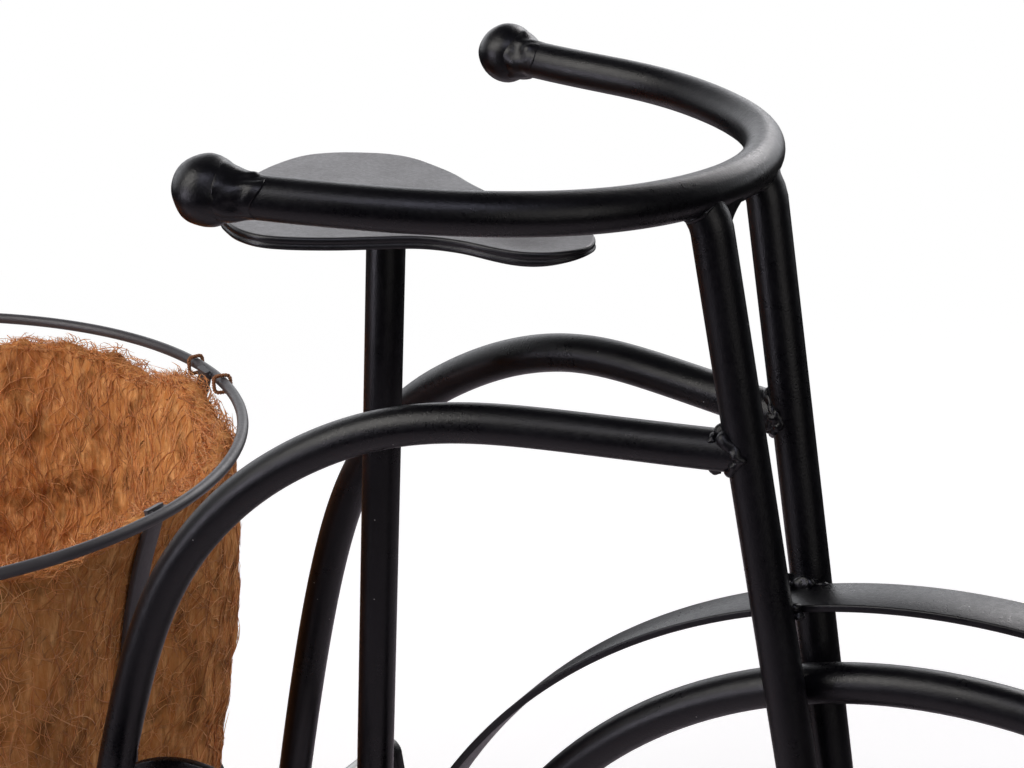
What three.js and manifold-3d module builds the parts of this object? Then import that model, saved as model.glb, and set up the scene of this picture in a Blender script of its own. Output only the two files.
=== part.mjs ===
// A bicycle planter: a tricycle of welded round tube with a coir-lined plant basket behind its saddle.
// Millimetres, +Z up, +X towards the front wheel, +Y towards the left side, ground at z = 0.
import * as THREE from 'three';
import { NURBSCurve } from 'three/addons/curves/NURBSCurve.js';
import { mergeVertices } from 'three/addons/utils/BufferGeometryUtils.js';
import Module from 'manifold-3d';

const wasm = await Module();
wasm.setup();

const degree = Math.PI / 180;
const halvings = 40;
const across = new THREE.Vector3(0, 1, 0);
const sides = { right: -1, left: 1 };

// Stock and clearances
const tubeDiameter = 12.7;
const wireDiameter = 4.5;
const stripWidth = 9;
const stripThickness = 2.4;
const seatGap = 0.3;
const runningGap = 0.3;
const cutOverrun = 5;
const tubeRadius = tubeDiameter / 2;
const wireRadius = wireDiameter / 2;

// Facets
const tubeSides = 12;
const rimSides = 10;
const wireSides = 6;
const spokeSides = 6;
const roundSides = 16;
const ringSteps = 48;
const smallRingSteps = 36;
const barSteps = 36;
const ballSteps = 14;
const ballRows = 8;
const bendSteps = 8;
const armEndSteps = 6;
const domeSteps = 12;
const domeRows = 6;

// Front wheel
const frontWheelDiameter = 381.8;
const frontWheelRearX = -99;
const frontSpokes = 8;
const frontSpokeAngle = 20 * degree;
const spokeDiameter = 5;
const frontHubDiameter = 18;
const frontHubLength = 12;
const frontAxleX = frontWheelRearX + frontWheelDiameter / 2;
const frontAxleZ = frontWheelDiameter / 2;
const frontRimRadius = frontWheelDiameter / 2 - tubeRadius;

// Front axle bolt
const boltDiameter = 8;
const boltHeadAcross = 13;
const boltHeadHeight = 5.3;
const nutHeight = 6.5;
const boltEndBeyondNut = 1.5;
const washerDiameter = 16;
const washerThickness = 1.5;
const boltRadius = boltDiameter / 2;
const boltBore = boltRadius + runningGap;

// Fork legs: straight down to the bend, then raked forward to flattened ends that are drilled for the bolt
const forkTopHalfSpacing = 19.4;
const forkTopAhead = 1.9;
const forkTopBelow = 3;
const forkLean = 10.4 * degree;
const forkBendShare = 0.5715;
const forkBendHalfSpacing = 10.77;
const forkEndAngle = 33 * degree;
const forkFlatThickness = 4.4;
const forkFlatWidth = 17;
const forkFlatLength = 20;
const forkTaperLength = 28;
const forkTabBeyondAxle = 9;
const forkReachShare = 0.333;
const forkTabEndShares = [[0.35, 0.92], [0.75, 0.68], [1, 0.3]];
const forkTabInner = frontHubLength / 2 + washerThickness + 2 * seatGap;
const forkTabMiddle = forkTabInner + forkFlatThickness / 2;
const forkTabOuter = forkTabInner + forkFlatThickness;
const forkBendZ = frontAxleZ * (1 + forkBendShare);

// Handlebar: a level hoop, open to the rear, that rises a little towards its ends
const barFrontX = 8.9;
const barFrontZ = 522.7;
const barReach = 133.7;
const barHalfWidth = 100;
const barRise = 5.4;
const barOutlineShares = [
  [0.865, -1.003], [0.773, -0.987], [0.585, -0.911], [0.347, -0.782], [0.123, -0.55], [0, -0.191],
  [0, 0.191], [0.123, 0.55], [0.347, 0.782], [0.585, 0.911], [0.82, 0.907], [1, 0.972],
];
const ballDiameter = 20.5;

// Front mudguard
const guardClearance = 29.5;
const guardThickness = 2.4;
const guardWidth = 18.5;
const guardAheadOfAxle = 4.8;
const guardBelowAxle = 5.9;
const guardFrontAngle = 48 * degree;
const guardRearAngle = 156 * degree;
const guardSteps = 44;
const guardDiameter = frontWheelDiameter + 2 * guardClearance;

// Frame tubes: from the fork legs back over an arch, down ahead of the basket and back under it
const frameStartX = 15;
const frameBelowBar = 78.2;
const frameStartHalfSpacing = 16.3;
const frameSpreadShare = 0.6958;
const archRun = 221;
const archDropShare = 0.6273;
const archShares = {
  right: [[0.172, 0.0015], [0.376, 0.014], [0.593, -0.0545], [0.827, -0.258], [0.917, -0.539], [1, -1]],
  left: [[0.168, 0.017], [0.348, 0.0405], [0.595, -0.0725], [0.813, -0.259], [0.919, -0.5525], [1, -1]],
};
const sweepRun = 90;
const sweepDropShare = 0.55;
const sweepRunShare = 0.5;
const tailBehindAxle = 25;
const frameSteps = 32;
const frameStartZ = barFrontZ - frameBelowBar;

// Rear wheels and axle
const rearWheelDiameter = 226;
const axleBehindBasket = 38.5;
const trackInsideHoop = 10.4;
const rearSpokes = 6;
const rearAxleDiameter = 12;
const rearHubDiameter = 22;
const rearHubLength = 24;
const collarDiameter = 20;
const collarThickness = 6;
const capNutAcross = 19;
const capNutHeight = 9;
const capNutDomeRadius = 8;
const capNutDomeShare = 0.9;
const rearAxleZ = rearWheelDiameter / 2;
const rearRimRadius = rearWheelDiameter / 2 - tubeRadius;
const rearAxleRadius = rearAxleDiameter / 2;
const frameLowZ = rearAxleZ + rearAxleRadius + seatGap + tubeRadius;
const archDrop = (frameStartZ - frameLowZ) * archDropShare;

// Saddle and its post
const saddleNoseX = -34.6;
const saddleLength = 139.4;
const saddleWidth = 103;
const saddleTopZ = 498.2;
const saddleThickness = 2;
const saddleRimDepth = 4.2;
const saddleRimThickness = 2;
const saddleEdgeRound = 0.8;
const saddleOutlineShares = [
  [0, -0.175], [0.034, -0.295], [0.103, -0.417], [0.189, -0.474], [0.275, -0.468], [0.362, -0.511],
  [0.448, -0.629], [0.534, -0.765], [0.62, -0.88], [0.684, -0.922], [0.749, -0.88], [0.804, -0.786],
  [0.843, -0.693], [0.907, -0.485], [0.957, -0.194], [0.988, 0.155], [1, 0.466], [0.985, 0.763],
  [0.93, 0.95], [0.853, 1.054], [0.792, 1.078], [0.732, 1.052], [0.663, 0.977], [0.577, 0.864],
  [0.491, 0.705], [0.405, 0.559], [0.319, 0.456], [0.232, 0.384], [0.146, 0.301], [0.082, 0.184],
  [0.026, 0],
];
const saddleSteps = 40;
const postTopX = -113.4;
const postFootX = -124.4;

// Crank between the frame tubes, on bars that run from the post's foot to a cross tube
const crankX = -167;
const crankZ = 251.4;
const crankShellDiameter = 28;
const crankShellLength = 36;
const crankAxleDiameter = 10;
const lowerBarFrontX = -114;
const crossTubeShare = 0.2175;
const chainRingDiameter = 104.6;
const chainRingY = -43;
const chainRingThickness = 3;
const chainRingWidth = 7;
const spiderArms = 5;
const spiderArmWidth = 8;
const spiderBossDiameter = 18;
const spiderBossLength = 10;
const crankArmLength = 57;
const crankArmHalfSpacing = 75;
const crankArmThickness = 5;
const crankArmWidth = 12;
const crankRestAngle = -80 * degree;
const pedalLength = 42;
const pedalWidth = 26;
const pedalThickness = 9;
const pedalBarWidth = 6;
const pedalSpindleDiameter = 7;
const crankAxleRadius = crankAxleDiameter / 2;
const crossTubeZ = frameLowZ + (frameStartZ - frameLowZ) * crossTubeShare;

// Basket: a wire hoop, bowed strips, a base hoop with two crossed strips, and a coir liner tied to the hoop
const basketFrontX = -211.3;
const basketRingDiameter = 300.4;
const basketRingZ = 370.4;
const basketStrips = 6;
const baseRingShare = 0.7;
const stripAboveRing = 5;
const linerThickness = 9;
const linerBelowRing = 5;
const linerLandClearance = 1.2;
const basketRingRadius = basketRingDiameter / 2;
const baseRingRadius = basketRingRadius * baseRingShare;
const rearTrack = basketRingDiameter - trackInsideHoop;
const basketX = basketFrontX - basketRingRadius;
const rearAxleX = basketX - axleBehindBasket;
const tailX = rearAxleX - tailBehindAxle;
const frameSpread = basketRingRadius * frameSpreadShare - frameStartHalfSpacing;
const framePlanAngle = Math.atan2(frameSpread, frameStartX - rearAxleX);
const baseRingZ = frameLowZ + tubeRadius + seatGap + wireRadius;
const floorStripZ = baseRingZ + wireRadius + seatGap + stripThickness / 2;
const floorHumpZ = floorStripZ + stripThickness + seatGap;
const floorHumpHalf = 11;
const floorHumpSlope = 8;
const linerBottomZ = floorHumpZ + stripThickness / 2 + seatGap;
const basketDepth = basketRingZ - linerBottomZ;
// Depth below the top hoop, radius of the strips, and radius of the liner between them
const basketProfileShares = [
  [0.1, 0.931, 0.979], [0.2, 0.893, 0.981], [0.32, 0.868, 0.973], [0.46, 0.852, 0.945],
  [0.6, 0.836, 0.905], [0.75, 0.808, 0.878], [0.88, 0.768, 0.815], [0.96, 0.738, 0.745],
];
const linerBottomShare = 0.66;
const linerFloorShare = 0.6;
// Places across one bay between two strips, as shares of the bay, and how far the liner bulges there
const baySpanShares = [[0.22, 0.6], [0.4, 0.95], [0.6, 0.95], [0.78, 0.6]];

// Ties that hold the liner to the top hoop, a pair about each strip at the sides
const tieDiameter = 2.4;
const tieFromStrip = 13.9;
const tieHalfWidth = 12.3;
const tieHalfHeight = 10.3;
const tieInsideRing = 7.5;
const tieBelowRing = 5.5;
const tieSquareness = 0.5;
const tieSteps = 12;
const tieSides = 5;

// The model is centred between the front wheel's front and the top hoop's rear
const frontEnd = frontAxleX + frontWheelDiameter / 2;
const rearEnd = basketX - basketRingRadius - wireRadius;
const centreShift = -(frontEnd + rearEnd) / 2;

// Finishes
const finishes = {
  blackPaint: { color: 0x0d0e11, roughness: 0.34, metalness: 0.0 },
  saddlePaint: { color: 0x26272b, roughness: 0.3, metalness: 0.0 },
  basketPaint: { color: 0x1c1c1e, roughness: 0.45, metalness: 0.0 },
  zinc: { color: 0x8d9094, roughness: 0.38, metalness: 1.0 },
  coir: { color: 0x6a4c31, roughness: 0.97, metalness: 0.0 },
  twine: { color: 0x57402a, roughness: 0.9, metalness: 0.0 },
};

// Solids

function signedVolume(geometry) {
  const a = new THREE.Vector3();
  const b = new THREE.Vector3();
  const c = new THREE.Vector3();
  const place = geometry.getAttribute('position');
  const corners = geometry.index.array;
  let six = 0;
  for (let i = 0; i < corners.length; i += 3) {
    a.fromBufferAttribute(place, corners[i]);
    b.fromBufferAttribute(place, corners[i + 1]);
    c.fromBufferAttribute(place, corners[i + 2]);
    six += a.dot(b.cross(c));
  }
  return six / 6;
}

// One skin: shared corners merged, needle faces at an axis left out, faces turned outwards
function closed(geometry) {
  geometry.deleteAttribute('normal');
  geometry.deleteAttribute('uv');
  const merged = mergeVertices(geometry);
  const corners = merged.index.array;
  const kept = [];
  for (let i = 0; i < corners.length; i += 3) {
    const [a, b, c] = [corners[i], corners[i + 1], corners[i + 2]];
    if (a !== b && b !== c && c !== a) kept.push(a, b, c);
  }
  merged.setIndex(kept);
  if (signedVolume(merged) < 0) {
    for (let i = 0; i < kept.length; i += 3) {
      [kept[i + 1], kept[i + 2]] = [kept[i + 2], kept[i + 1]];
    }
    merged.setIndex(kept);
  }
  return merged;
}

function toSolid(geometry) {
  const vertProperties = Float32Array.from(geometry.getAttribute('position').array);
  const triVerts = Uint32Array.from(geometry.index.array);
  return new wasm.Manifold(new wasm.Mesh({ numProp: 3, vertProperties, triVerts }));
}

function fromSolid(solid) {
  const { vertProperties, triVerts } = solid.getMesh();
  const geometry = new THREE.BufferGeometry();
  geometry.setAttribute('position', new THREE.BufferAttribute(Float32Array.from(vertProperties), 3));
  geometry.setIndex(Array.from(triVerts));
  return geometry;
}

function cut(geometry, ...tools) {
  return fromSolid(tools.reduce((solid, tool) => solid.subtract(toSolid(tool)), toSolid(geometry)));
}

function join(...geometries) {
  return fromSolid(geometries.map(toSolid).reduce((whole, solid) => whole.add(solid)));
}

function polygon(radius, count, turn = 0) {
  const points = [];
  for (let i = 0; i < count; i += 1) {
    const angle = turn + (i / count) * 2 * Math.PI;
    points.push(new THREE.Vector2(radius * Math.cos(angle), radius * Math.sin(angle)));
  }
  return points;
}

function tube(path, radius, count, steps) {
  const section = new THREE.Shape(polygon(radius, count));
  return closed(new THREE.ExtrudeGeometry(section, { steps, extrudePath: path }));
}

function rod(start, end, radius, count) {
  return tube(new THREE.LineCurve3(start, end), radius, count, 1);
}

function alongY(x, z, fromY, toY, radius, count = roundSides) {
  return rod(new THREE.Vector3(x, fromY, z), new THREE.Vector3(x, toY, z), radius, count);
}

// A ring or sleeve about an axis along Y, centred on the origin
function sleeve(inner, outer, length, count = roundSides) {
  const half = length / 2;
  const profile = [[inner, -half], [outer, -half], [outer, half], [inner, half], [inner, -half]];
  return closed(new THREE.LatheGeometry(profile.map(([r, y]) => new THREE.Vector2(r, y)), count));
}

// A hoop of round stock about an axis along Y
function uprightHoop(radius, stockRadius, count, steps) {
  return closed(new THREE.TorusGeometry(radius, stockRadius, count, steps).rotateX(Math.PI / 2));
}

function levelHoop(radius, stockRadius, count, steps) {
  return closed(new THREE.TorusGeometry(radius, stockRadius, count, steps));
}

// Skin over rings of points, one ring after another, with a fan over each end
function loft(rings) {
  const count = rings[0].length;
  const points = rings.flat();
  const faces = [];
  for (let r = 0; r + 1 < rings.length; r += 1) {
    for (let i = 0; i < count; i += 1) {
      const next = (i + 1) % count;
      const [a, b] = [r * count + i, r * count + next];
      faces.push(a, b, b + count, a, b + count, a + count);
    }
  }
  for (const [ring, start] of [[rings[0], 0], [rings.at(-1), (rings.length - 1) * count]]) {
    const middle = ring.reduce((sum, point) => sum.add(point), new THREE.Vector3()).divideScalar(count);
    points.push(middle);
    for (let i = 0; i < count; i += 1) {
      const pair = [start + i, start + ((i + 1) % count)];
      faces.push(...(start === 0 ? pair.reverse() : pair), points.length - 1);
    }
  }
  const geometry = new THREE.BufferGeometry().setFromPoints(points);
  geometry.setIndex(faces);
  return closed(geometry);
}

// Flat stock bent along points of a plane: radial distance and height, its width centred on y = 0
function bentStrip(points, thickness, width) {
  const line = points.map(([out, up]) => new THREE.Vector2(out, up));
  const offset = (point, i, reach) => {
    const before = line[Math.max(i - 1, 0)];
    const after = line[Math.min(i + 1, line.length - 1)];
    const intoBend = point.clone().sub(before).normalize();
    const outOfBend = after.clone().sub(point).normalize();
    if (i === 0) intoBend.copy(outOfBend);
    if (i === line.length - 1) outOfBend.copy(intoBend);
    const mitre = intoBend.clone().add(outOfBend).normalize();
    const normal = new THREE.Vector2(-mitre.y, mitre.x);
    return point.clone().addScaledVector(normal, reach / mitre.dot(outOfBend));
  };
  const upper = line.map((point, i) => offset(point, i, thickness / 2));
  const lower = line.map((point, i) => offset(point, i, -thickness / 2));
  const shape = new THREE.Shape([...upper, ...lower.reverse()]);
  const flat = new THREE.ExtrudeGeometry(shape, { depth: width, bevelEnabled: false });
  return closed(flat.rotateX(Math.PI / 2).translate(0, width / 2, 0));
}

// Cubic curve whose ends touch its first and last control points
function smoothCurve(controls) {
  const order = 3;
  const spans = controls.length - order;
  const knots = Array(order).fill(0);
  for (let i = 0; i <= spans; i += 1) knots.push(i / spans);
  knots.push(...Array(order).fill(1));
  const weighted = controls.map((point) => new THREE.Vector4(point.x, point.y, point.z, 1));
  return new NURBSCurve(order, knots, weighted);
}

function makePiece(name, geometry, finish) {
  const mesh = new THREE.Mesh(geometry, new THREE.MeshStandardMaterial(finish));
  mesh.name = name;
  return mesh;
}

// Point and direction of a path where it passes a value that grows or shrinks steadily along it
function passing(path, measure, value) {
  const rising = measure(path.getPoint(1)) > measure(path.getPoint(0));
  let [before, after] = [0, 1];
  for (let i = 0; i < halvings; i += 1) {
    const middle = (before + after) / 2;
    if ((measure(path.getPointAt(middle)) < value) === rising) before = middle;
    else after = middle;
  }
  return { point: path.getPointAt(before), along: path.getTangentAt(before) };
}

// A straight stretch of tube about a place on a bent one, to cope its neighbour clear of the bend's facets
function stretchAt({ point, along }, radius) {
  const reach = along.clone().multiplyScalar(tubeDiameter);
  return rod(point.clone().sub(reach), point.clone().add(reach), radius, tubeSides);
}

// Handlebar

const barPath = smoothCurve(barOutlineShares.map(([back, side]) => new THREE.Vector3(
  barFrontX - back * barReach,
  side * barHalfWidth,
  barFrontZ + back * barRise,
)));

function handlebarTube(grow) {
  return tube(barPath, tubeRadius + grow, tubeSides, barSteps);
}

function ball(centre, radius) {
  const sphere = new THREE.SphereGeometry(radius, ballSteps, ballRows);
  return closed(sphere.translate(centre.x, centre.y, centre.z));
}

function makeHandlebar() {
  const ends = { right: barPath.getPoint(0), left: barPath.getPoint(1) };
  const seats = Object.values(ends).map((end) => ball(end, ballDiameter / 2 + seatGap));
  const coped = cut(handlebarTube(0), ...seats);
  const balls = Object.entries(ends).map(([side, end]) => (
    makePiece(`grip_ball_${side}`, ball(end, ballDiameter / 2), finishes.blackPaint)
  ));
  return [makePiece('handlebar', coped, finishes.blackPaint), ...balls];
}

// Fork

function forkTop(side) {
  return passing(barPath, (point) => point.y, side * forkTopHalfSpacing);
}

function forkPath(side) {
  const top = forkTop(side).point.add(new THREE.Vector3(forkTopAhead, 0, -forkTopBelow));
  const bendX = top.x + (top.z - forkBendZ) * Math.tan(forkLean);
  const bend = new THREE.Vector3(bendX, side * forkBendHalfSpacing, forkBendZ);
  const axle = new THREE.Vector3(frontAxleX, side * forkTabMiddle, frontAxleZ);
  const down = bend.clone().sub(top).normalize();
  const raked = new THREE.Vector3(Math.sin(forkEndAngle), 0, -Math.cos(forkEndAngle));
  const reach = bend.distanceTo(axle) * forkReachShare;
  const path = new THREE.CurvePath();
  path.add(new THREE.LineCurve3(top, bend));
  path.add(new THREE.CubicBezierCurve3(
    bend,
    bend.clone().addScaledVector(down, reach),
    axle.clone().addScaledVector(raked, -reach),
    axle,
  ));
  path.add(new THREE.LineCurve3(axle, axle.clone().addScaledVector(raked, forkTabBeyondAxle)));
  return path;
}

// Section of a leg: round, or pressed flat across the axle by a share
function forkSection(centre, along, flat, widthShare, grow) {
  const out = across.clone().addScaledVector(along, -across.dot(along)).normalize();
  const wide = new THREE.Vector3().crossVectors(out, along).normalize();
  const halfWidth = THREE.MathUtils.lerp(tubeRadius, (forkFlatWidth / 2) * widthShare, flat) + grow;
  const halfThickness = THREE.MathUtils.lerp(tubeRadius, forkFlatThickness / 2, flat) + grow;
  return polygon(1, tubeSides).map((unit) => centre.clone()
    .addScaledVector(wide, unit.x * halfWidth)
    .addScaledVector(out, THREE.MathUtils.clamp(unit.y * (tubeRadius + grow), -halfThickness, halfThickness)));
}

function forkLeg(side, grow) {
  const path = forkPath(side);
  const [straight, bent, tab] = path.curves;
  const rings = [forkSection(straight.getPoint(0), straight.getTangent(0), 0, 1, grow)];
  const bendLength = bent.getLength();
  for (let i = 0; i <= bendSteps; i += 1) {
    const at = i / bendSteps;
    const left = (1 - at) * bendLength;
    const flat = THREE.MathUtils.clamp((forkFlatLength + forkTaperLength - left) / forkTaperLength, 0, 1);
    const eased = THREE.MathUtils.smoothstep(flat, 0, 1);
    rings.push(forkSection(bent.getPointAt(at), bent.getTangentAt(at), eased, 1, grow));
  }
  for (const [at, width] of forkTabEndShares) {
    rings.push(forkSection(tab.getPoint(at), tab.getTangent(at), 1, width, grow));
  }
  return loft(rings);
}

function makeFork() {
  const bar = handlebarTube(seatGap);
  const holeHalf = forkTabOuter + cutOverrun;
  const boltHole = alongY(frontAxleX, frontAxleZ, -holeHalf, holeHalf, boltBore);
  return Object.entries(sides).map(([name, side]) => (
    makePiece(
      `fork_leg_${name}`,
      cut(forkLeg(side, 0), bar, stretchAt(forkTop(side), tubeRadius + seatGap), boltHole),
      finishes.blackPaint,
    )
  ));
}

// Front wheel

function spokedHub(hubRadius, hubLength, bore, spokes, firstAngle, reach) {
  const parts = [sleeve(bore, hubRadius, hubLength)];
  for (let i = 0; i < spokes; i += 1) {
    const angle = firstAngle + (i / spokes) * 2 * Math.PI;
    const out = new THREE.Vector3(Math.cos(angle), 0, Math.sin(angle));
    const start = out.clone().multiplyScalar((bore + hubRadius) / 2);
    parts.push(rod(start, out.clone().multiplyScalar(reach), spokeDiameter / 2, spokeSides));
  }
  return join(...parts);
}

// Least inner radius of a faceted hoop, less the gap that its spokes keep
function spokeReach(rimRadius, steps) {
  return (rimRadius - tubeRadius) * Math.cos(Math.PI / steps) - seatGap;
}

function makeFrontWheel() {
  const rim = uprightHoop(frontRimRadius, tubeRadius, rimSides, ringSteps);
  const reach = spokeReach(frontRimRadius, ringSteps);
  const hub = spokedHub(frontHubDiameter / 2, frontHubLength, boltBore, frontSpokes, frontSpokeAngle, reach);
  const wheel = [
    makePiece('front_wheel_rim', rim, finishes.blackPaint),
    makePiece('front_wheel_spokes', hub, finishes.blackPaint),
  ];
  for (const mesh of wheel) mesh.position.set(frontAxleX, 0, frontAxleZ);
  return wheel;
}

function hexagon(acrossFlats, height) {
  const corner = acrossFlats / 2 / Math.cos(Math.PI / 6);
  const shape = new THREE.Shape(polygon(corner, 6));
  const prism = new THREE.ExtrudeGeometry(shape, { depth: height, bevelEnabled: false });
  return closed(prism.rotateX(-Math.PI / 2));
}

function makeFrontAxle() {
  const headFace = forkTabOuter + seatGap;
  const nutFace = forkTabOuter + seatGap;
  const head = hexagon(boltHeadAcross, boltHeadHeight).translate(0, -headFace - boltHeadHeight, 0);
  const shankEnd = nutFace + nutHeight + boltEndBeyondNut;
  const shank = alongY(0, 0, -headFace - boltHeadHeight / 2, shankEnd, boltRadius);
  const nutBore = alongY(0, 0, -cutOverrun, nutHeight + cutOverrun, boltBore);
  const nut = cut(hexagon(boltHeadAcross, nutHeight), nutBore).translate(0, nutFace, 0);
  const pieces = [
    makePiece('front_axle_bolt', join(head, shank), finishes.zinc),
    makePiece('front_axle_nut', nut, finishes.zinc),
  ];
  const washerMiddle = frontHubLength / 2 + seatGap + washerThickness / 2;
  for (const [name, side] of Object.entries(sides)) {
    const washer = sleeve(boltBore, washerDiameter / 2, washerThickness).translate(0, side * washerMiddle, 0);
    pieces.push(makePiece(`front_washer_${name}`, washer, finishes.zinc));
  }
  for (const mesh of pieces) mesh.position.set(frontAxleX, 0, frontAxleZ);
  return pieces;
}

function makeMudguard() {
  const outer = guardDiameter / 2;
  const inner = outer - guardThickness;
  const shape = new THREE.Shape();
  shape.absarc(0, 0, outer, guardFrontAngle, guardRearAngle, false);
  shape.absarc(0, 0, inner, guardRearAngle, guardFrontAngle, true);
  const band = new THREE.ExtrudeGeometry(shape, {
    depth: guardWidth,
    bevelEnabled: false,
    curveSegments: guardSteps / 2,
  });
  band.rotateX(Math.PI / 2);
  band.translate(frontAxleX + guardAheadOfAxle, guardWidth / 2, frontAxleZ - guardBelowAxle);
  const legs = Object.values(sides).map((side) => forkLeg(side, seatGap));
  return makePiece('front_mudguard', cut(closed(band), ...legs), finishes.blackPaint);
}

// Frame tubes

function framePoint(side, run, z) {
  return new THREE.Vector3(
    frameStartX - run * Math.cos(framePlanAngle),
    sides[side] * (frameStartHalfSpacing + run * Math.sin(framePlanAngle)),
    z,
  );
}

function framePath(side) {
  const [leg] = forkPath(sides[side]).curves;
  const start = passing(leg, (point) => point.z, frameStartZ).point;
  const bends = archShares[side].map(([run, rise]) => (
    framePoint(side, run * archRun, frameStartZ + rise * archDrop)
  ));
  const controls = [start, ...bends];
  const foot = controls.at(-1);
  const down = foot.clone().sub(controls.at(-2)).normalize();
  const lowStart = framePoint(side, archRun + sweepRun, frameLowZ);
  const lowEnd = framePoint(side, (frameStartX - tailX) / Math.cos(framePlanAngle), frameLowZ);
  const back = lowEnd.clone().sub(lowStart).normalize();
  const path = new THREE.CurvePath();
  path.add(smoothCurve(controls));
  path.add(new THREE.CubicBezierCurve3(
    foot,
    foot.clone().addScaledVector(down, (foot.z - frameLowZ) * sweepDropShare),
    lowStart.clone().addScaledVector(back, -sweepRun * sweepRunShare),
    lowStart,
  ));
  path.add(new THREE.LineCurve3(lowStart, lowEnd));
  return path;
}

function frameTube(side, grow) {
  return tube(framePath(side), tubeRadius + grow, tubeSides, frameSteps);
}

function makeFrameTubes() {
  return Object.entries(sides).map(([name, side]) => (
    makePiece(`frame_tube_${name}`, cut(frameTube(name, 0), forkLeg(side, seatGap)), finishes.blackPaint)
  ));
}

function frameAtHeight(side, z) {
  return passing(framePath(side), (point) => point.z, z);
}

// Saddle and seat post

function saddleOutline(inset) {
  const corners = saddleOutlineShares.map(([back, side]) => new THREE.Vector3(
    saddleNoseX - back * saddleLength,
    side * (saddleWidth / 2),
    0,
  ));
  const outline = new THREE.CatmullRomCurve3(corners, true).getSpacedPoints(saddleSteps).slice(1)
    .map((point) => new THREE.Vector2(point.x, point.y));
  return outline.map((point, i) => {
    const before = outline[(i + outline.length - 1) % outline.length];
    const after = outline[(i + 1) % outline.length];
    const along = after.clone().sub(before).normalize();
    return point.clone().addScaledVector(new THREE.Vector2(along.y, -along.x), inset);
  });
}

function makeSaddle() {
  const plate = new THREE.ExtrudeGeometry(new THREE.Shape(saddleOutline(0)), {
    depth: saddleRimDepth - 2 * saddleEdgeRound,
    bevelThickness: saddleEdgeRound,
    bevelSize: saddleEdgeRound,
    bevelOffset: -saddleEdgeRound,
    bevelSegments: 1,
  });
  plate.translate(0, 0, saddleTopZ - saddleRimDepth + saddleEdgeRound);
  const hollow = new THREE.ExtrudeGeometry(new THREE.Shape(saddleOutline(saddleRimThickness)), {
    depth: saddleRimDepth - saddleThickness + cutOverrun,
    bevelEnabled: false,
  });
  hollow.translate(0, 0, saddleTopZ - saddleRimDepth - cutOverrun);
  return makePiece('saddle', cut(closed(plate), closed(hollow)), finishes.saddlePaint);
}

function lowerBarFront(grow) {
  const start = new THREE.Vector3(crankX, 0, crankZ);
  return rod(start, new THREE.Vector3(lowerBarFrontX, 0, crankZ), tubeRadius + grow, tubeSides);
}

function makeSeatPost() {
  const top = new THREE.Vector3(postTopX, 0, saddleTopZ);
  const foot = new THREE.Vector3(postFootX, 0, crankZ);
  const post = rod(top, foot, tubeRadius, tubeSides);
  const aboveZ = saddleTopZ - saddleThickness - seatGap;
  const above = new THREE.BoxGeometry(2 * tubeDiameter, 2 * tubeDiameter, 2 * cutOverrun);
  above.translate(postTopX, 0, aboveZ + cutOverrun);
  return makePiece('seat_post', cut(post, closed(above), lowerBarFront(seatGap)), finishes.blackPaint);
}

// Crank

function crossTube(grow) {
  const [right, left] = Object.keys(sides).map((side) => frameAtHeight(side, crossTubeZ).point);
  return rod(right, left, tubeRadius + grow, tubeSides);
}

function makeLowerFrame() {
  const shellHalf = crankShellLength / 2;
  const shell = alongY(crankX, crankZ, -shellHalf, shellHalf, crankShellDiameter / 2 + seatGap);
  const carriers = Object.keys(sides).flatMap((side) => [
    frameTube(side, seatGap),
    stretchAt(frameAtHeight(side, crossTubeZ), tubeRadius + seatGap),
  ]);
  const [right, left] = Object.keys(sides).map((side) => frameAtHeight(side, crossTubeZ).point);
  const crossMiddle = right.clone().add(left).divideScalar(2);
  const rear = rod(new THREE.Vector3(crankX, 0, crankZ), crossMiddle, tubeRadius, tubeSides);
  const bore = crankAxleRadius + runningGap;
  return [
    makePiece(
      'crank_shell',
      sleeve(bore, crankShellDiameter / 2, crankShellLength).translate(crankX, 0, crankZ),
      finishes.blackPaint,
    ),
    makePiece('lower_bar_front', cut(lowerBarFront(0), shell), finishes.blackPaint),
    makePiece('lower_bar_rear', cut(rear, shell, crossTube(seatGap)), finishes.blackPaint),
    makePiece('cross_tube', cut(crossTube(0), ...carriers), finishes.blackPaint),
  ];
}

function makeChainRing() {
  const outer = chainRingDiameter / 2;
  const inner = outer - chainRingWidth;
  const armReach = inner * Math.cos(Math.PI / ringSteps) - seatGap;
  const boss = sleeve(crankAxleRadius + seatGap, spiderBossDiameter / 2, spiderBossLength);
  const arms = [];
  for (let i = 0; i < spiderArms; i += 1) {
    const start = (crankAxleRadius + seatGap + spiderBossDiameter / 2) / 2;
    const arm = new THREE.BoxGeometry(armReach - start, chainRingThickness, spiderArmWidth);
    arm.translate((armReach + start) / 2, 0, 0).rotateY((i / spiderArms) * 2 * Math.PI);
    arms.push(closed(arm));
  }
  const band = sleeve(inner, outer, chainRingThickness, ringSteps);
  const ring = makePiece('chain_ring', band, finishes.blackPaint);
  const spider = makePiece('chain_ring_spider', join(boss, ...arms), finishes.blackPaint);
  for (const mesh of [ring, spider]) mesh.position.set(0, chainRingY, 0);
  return [ring, spider];
}

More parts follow.
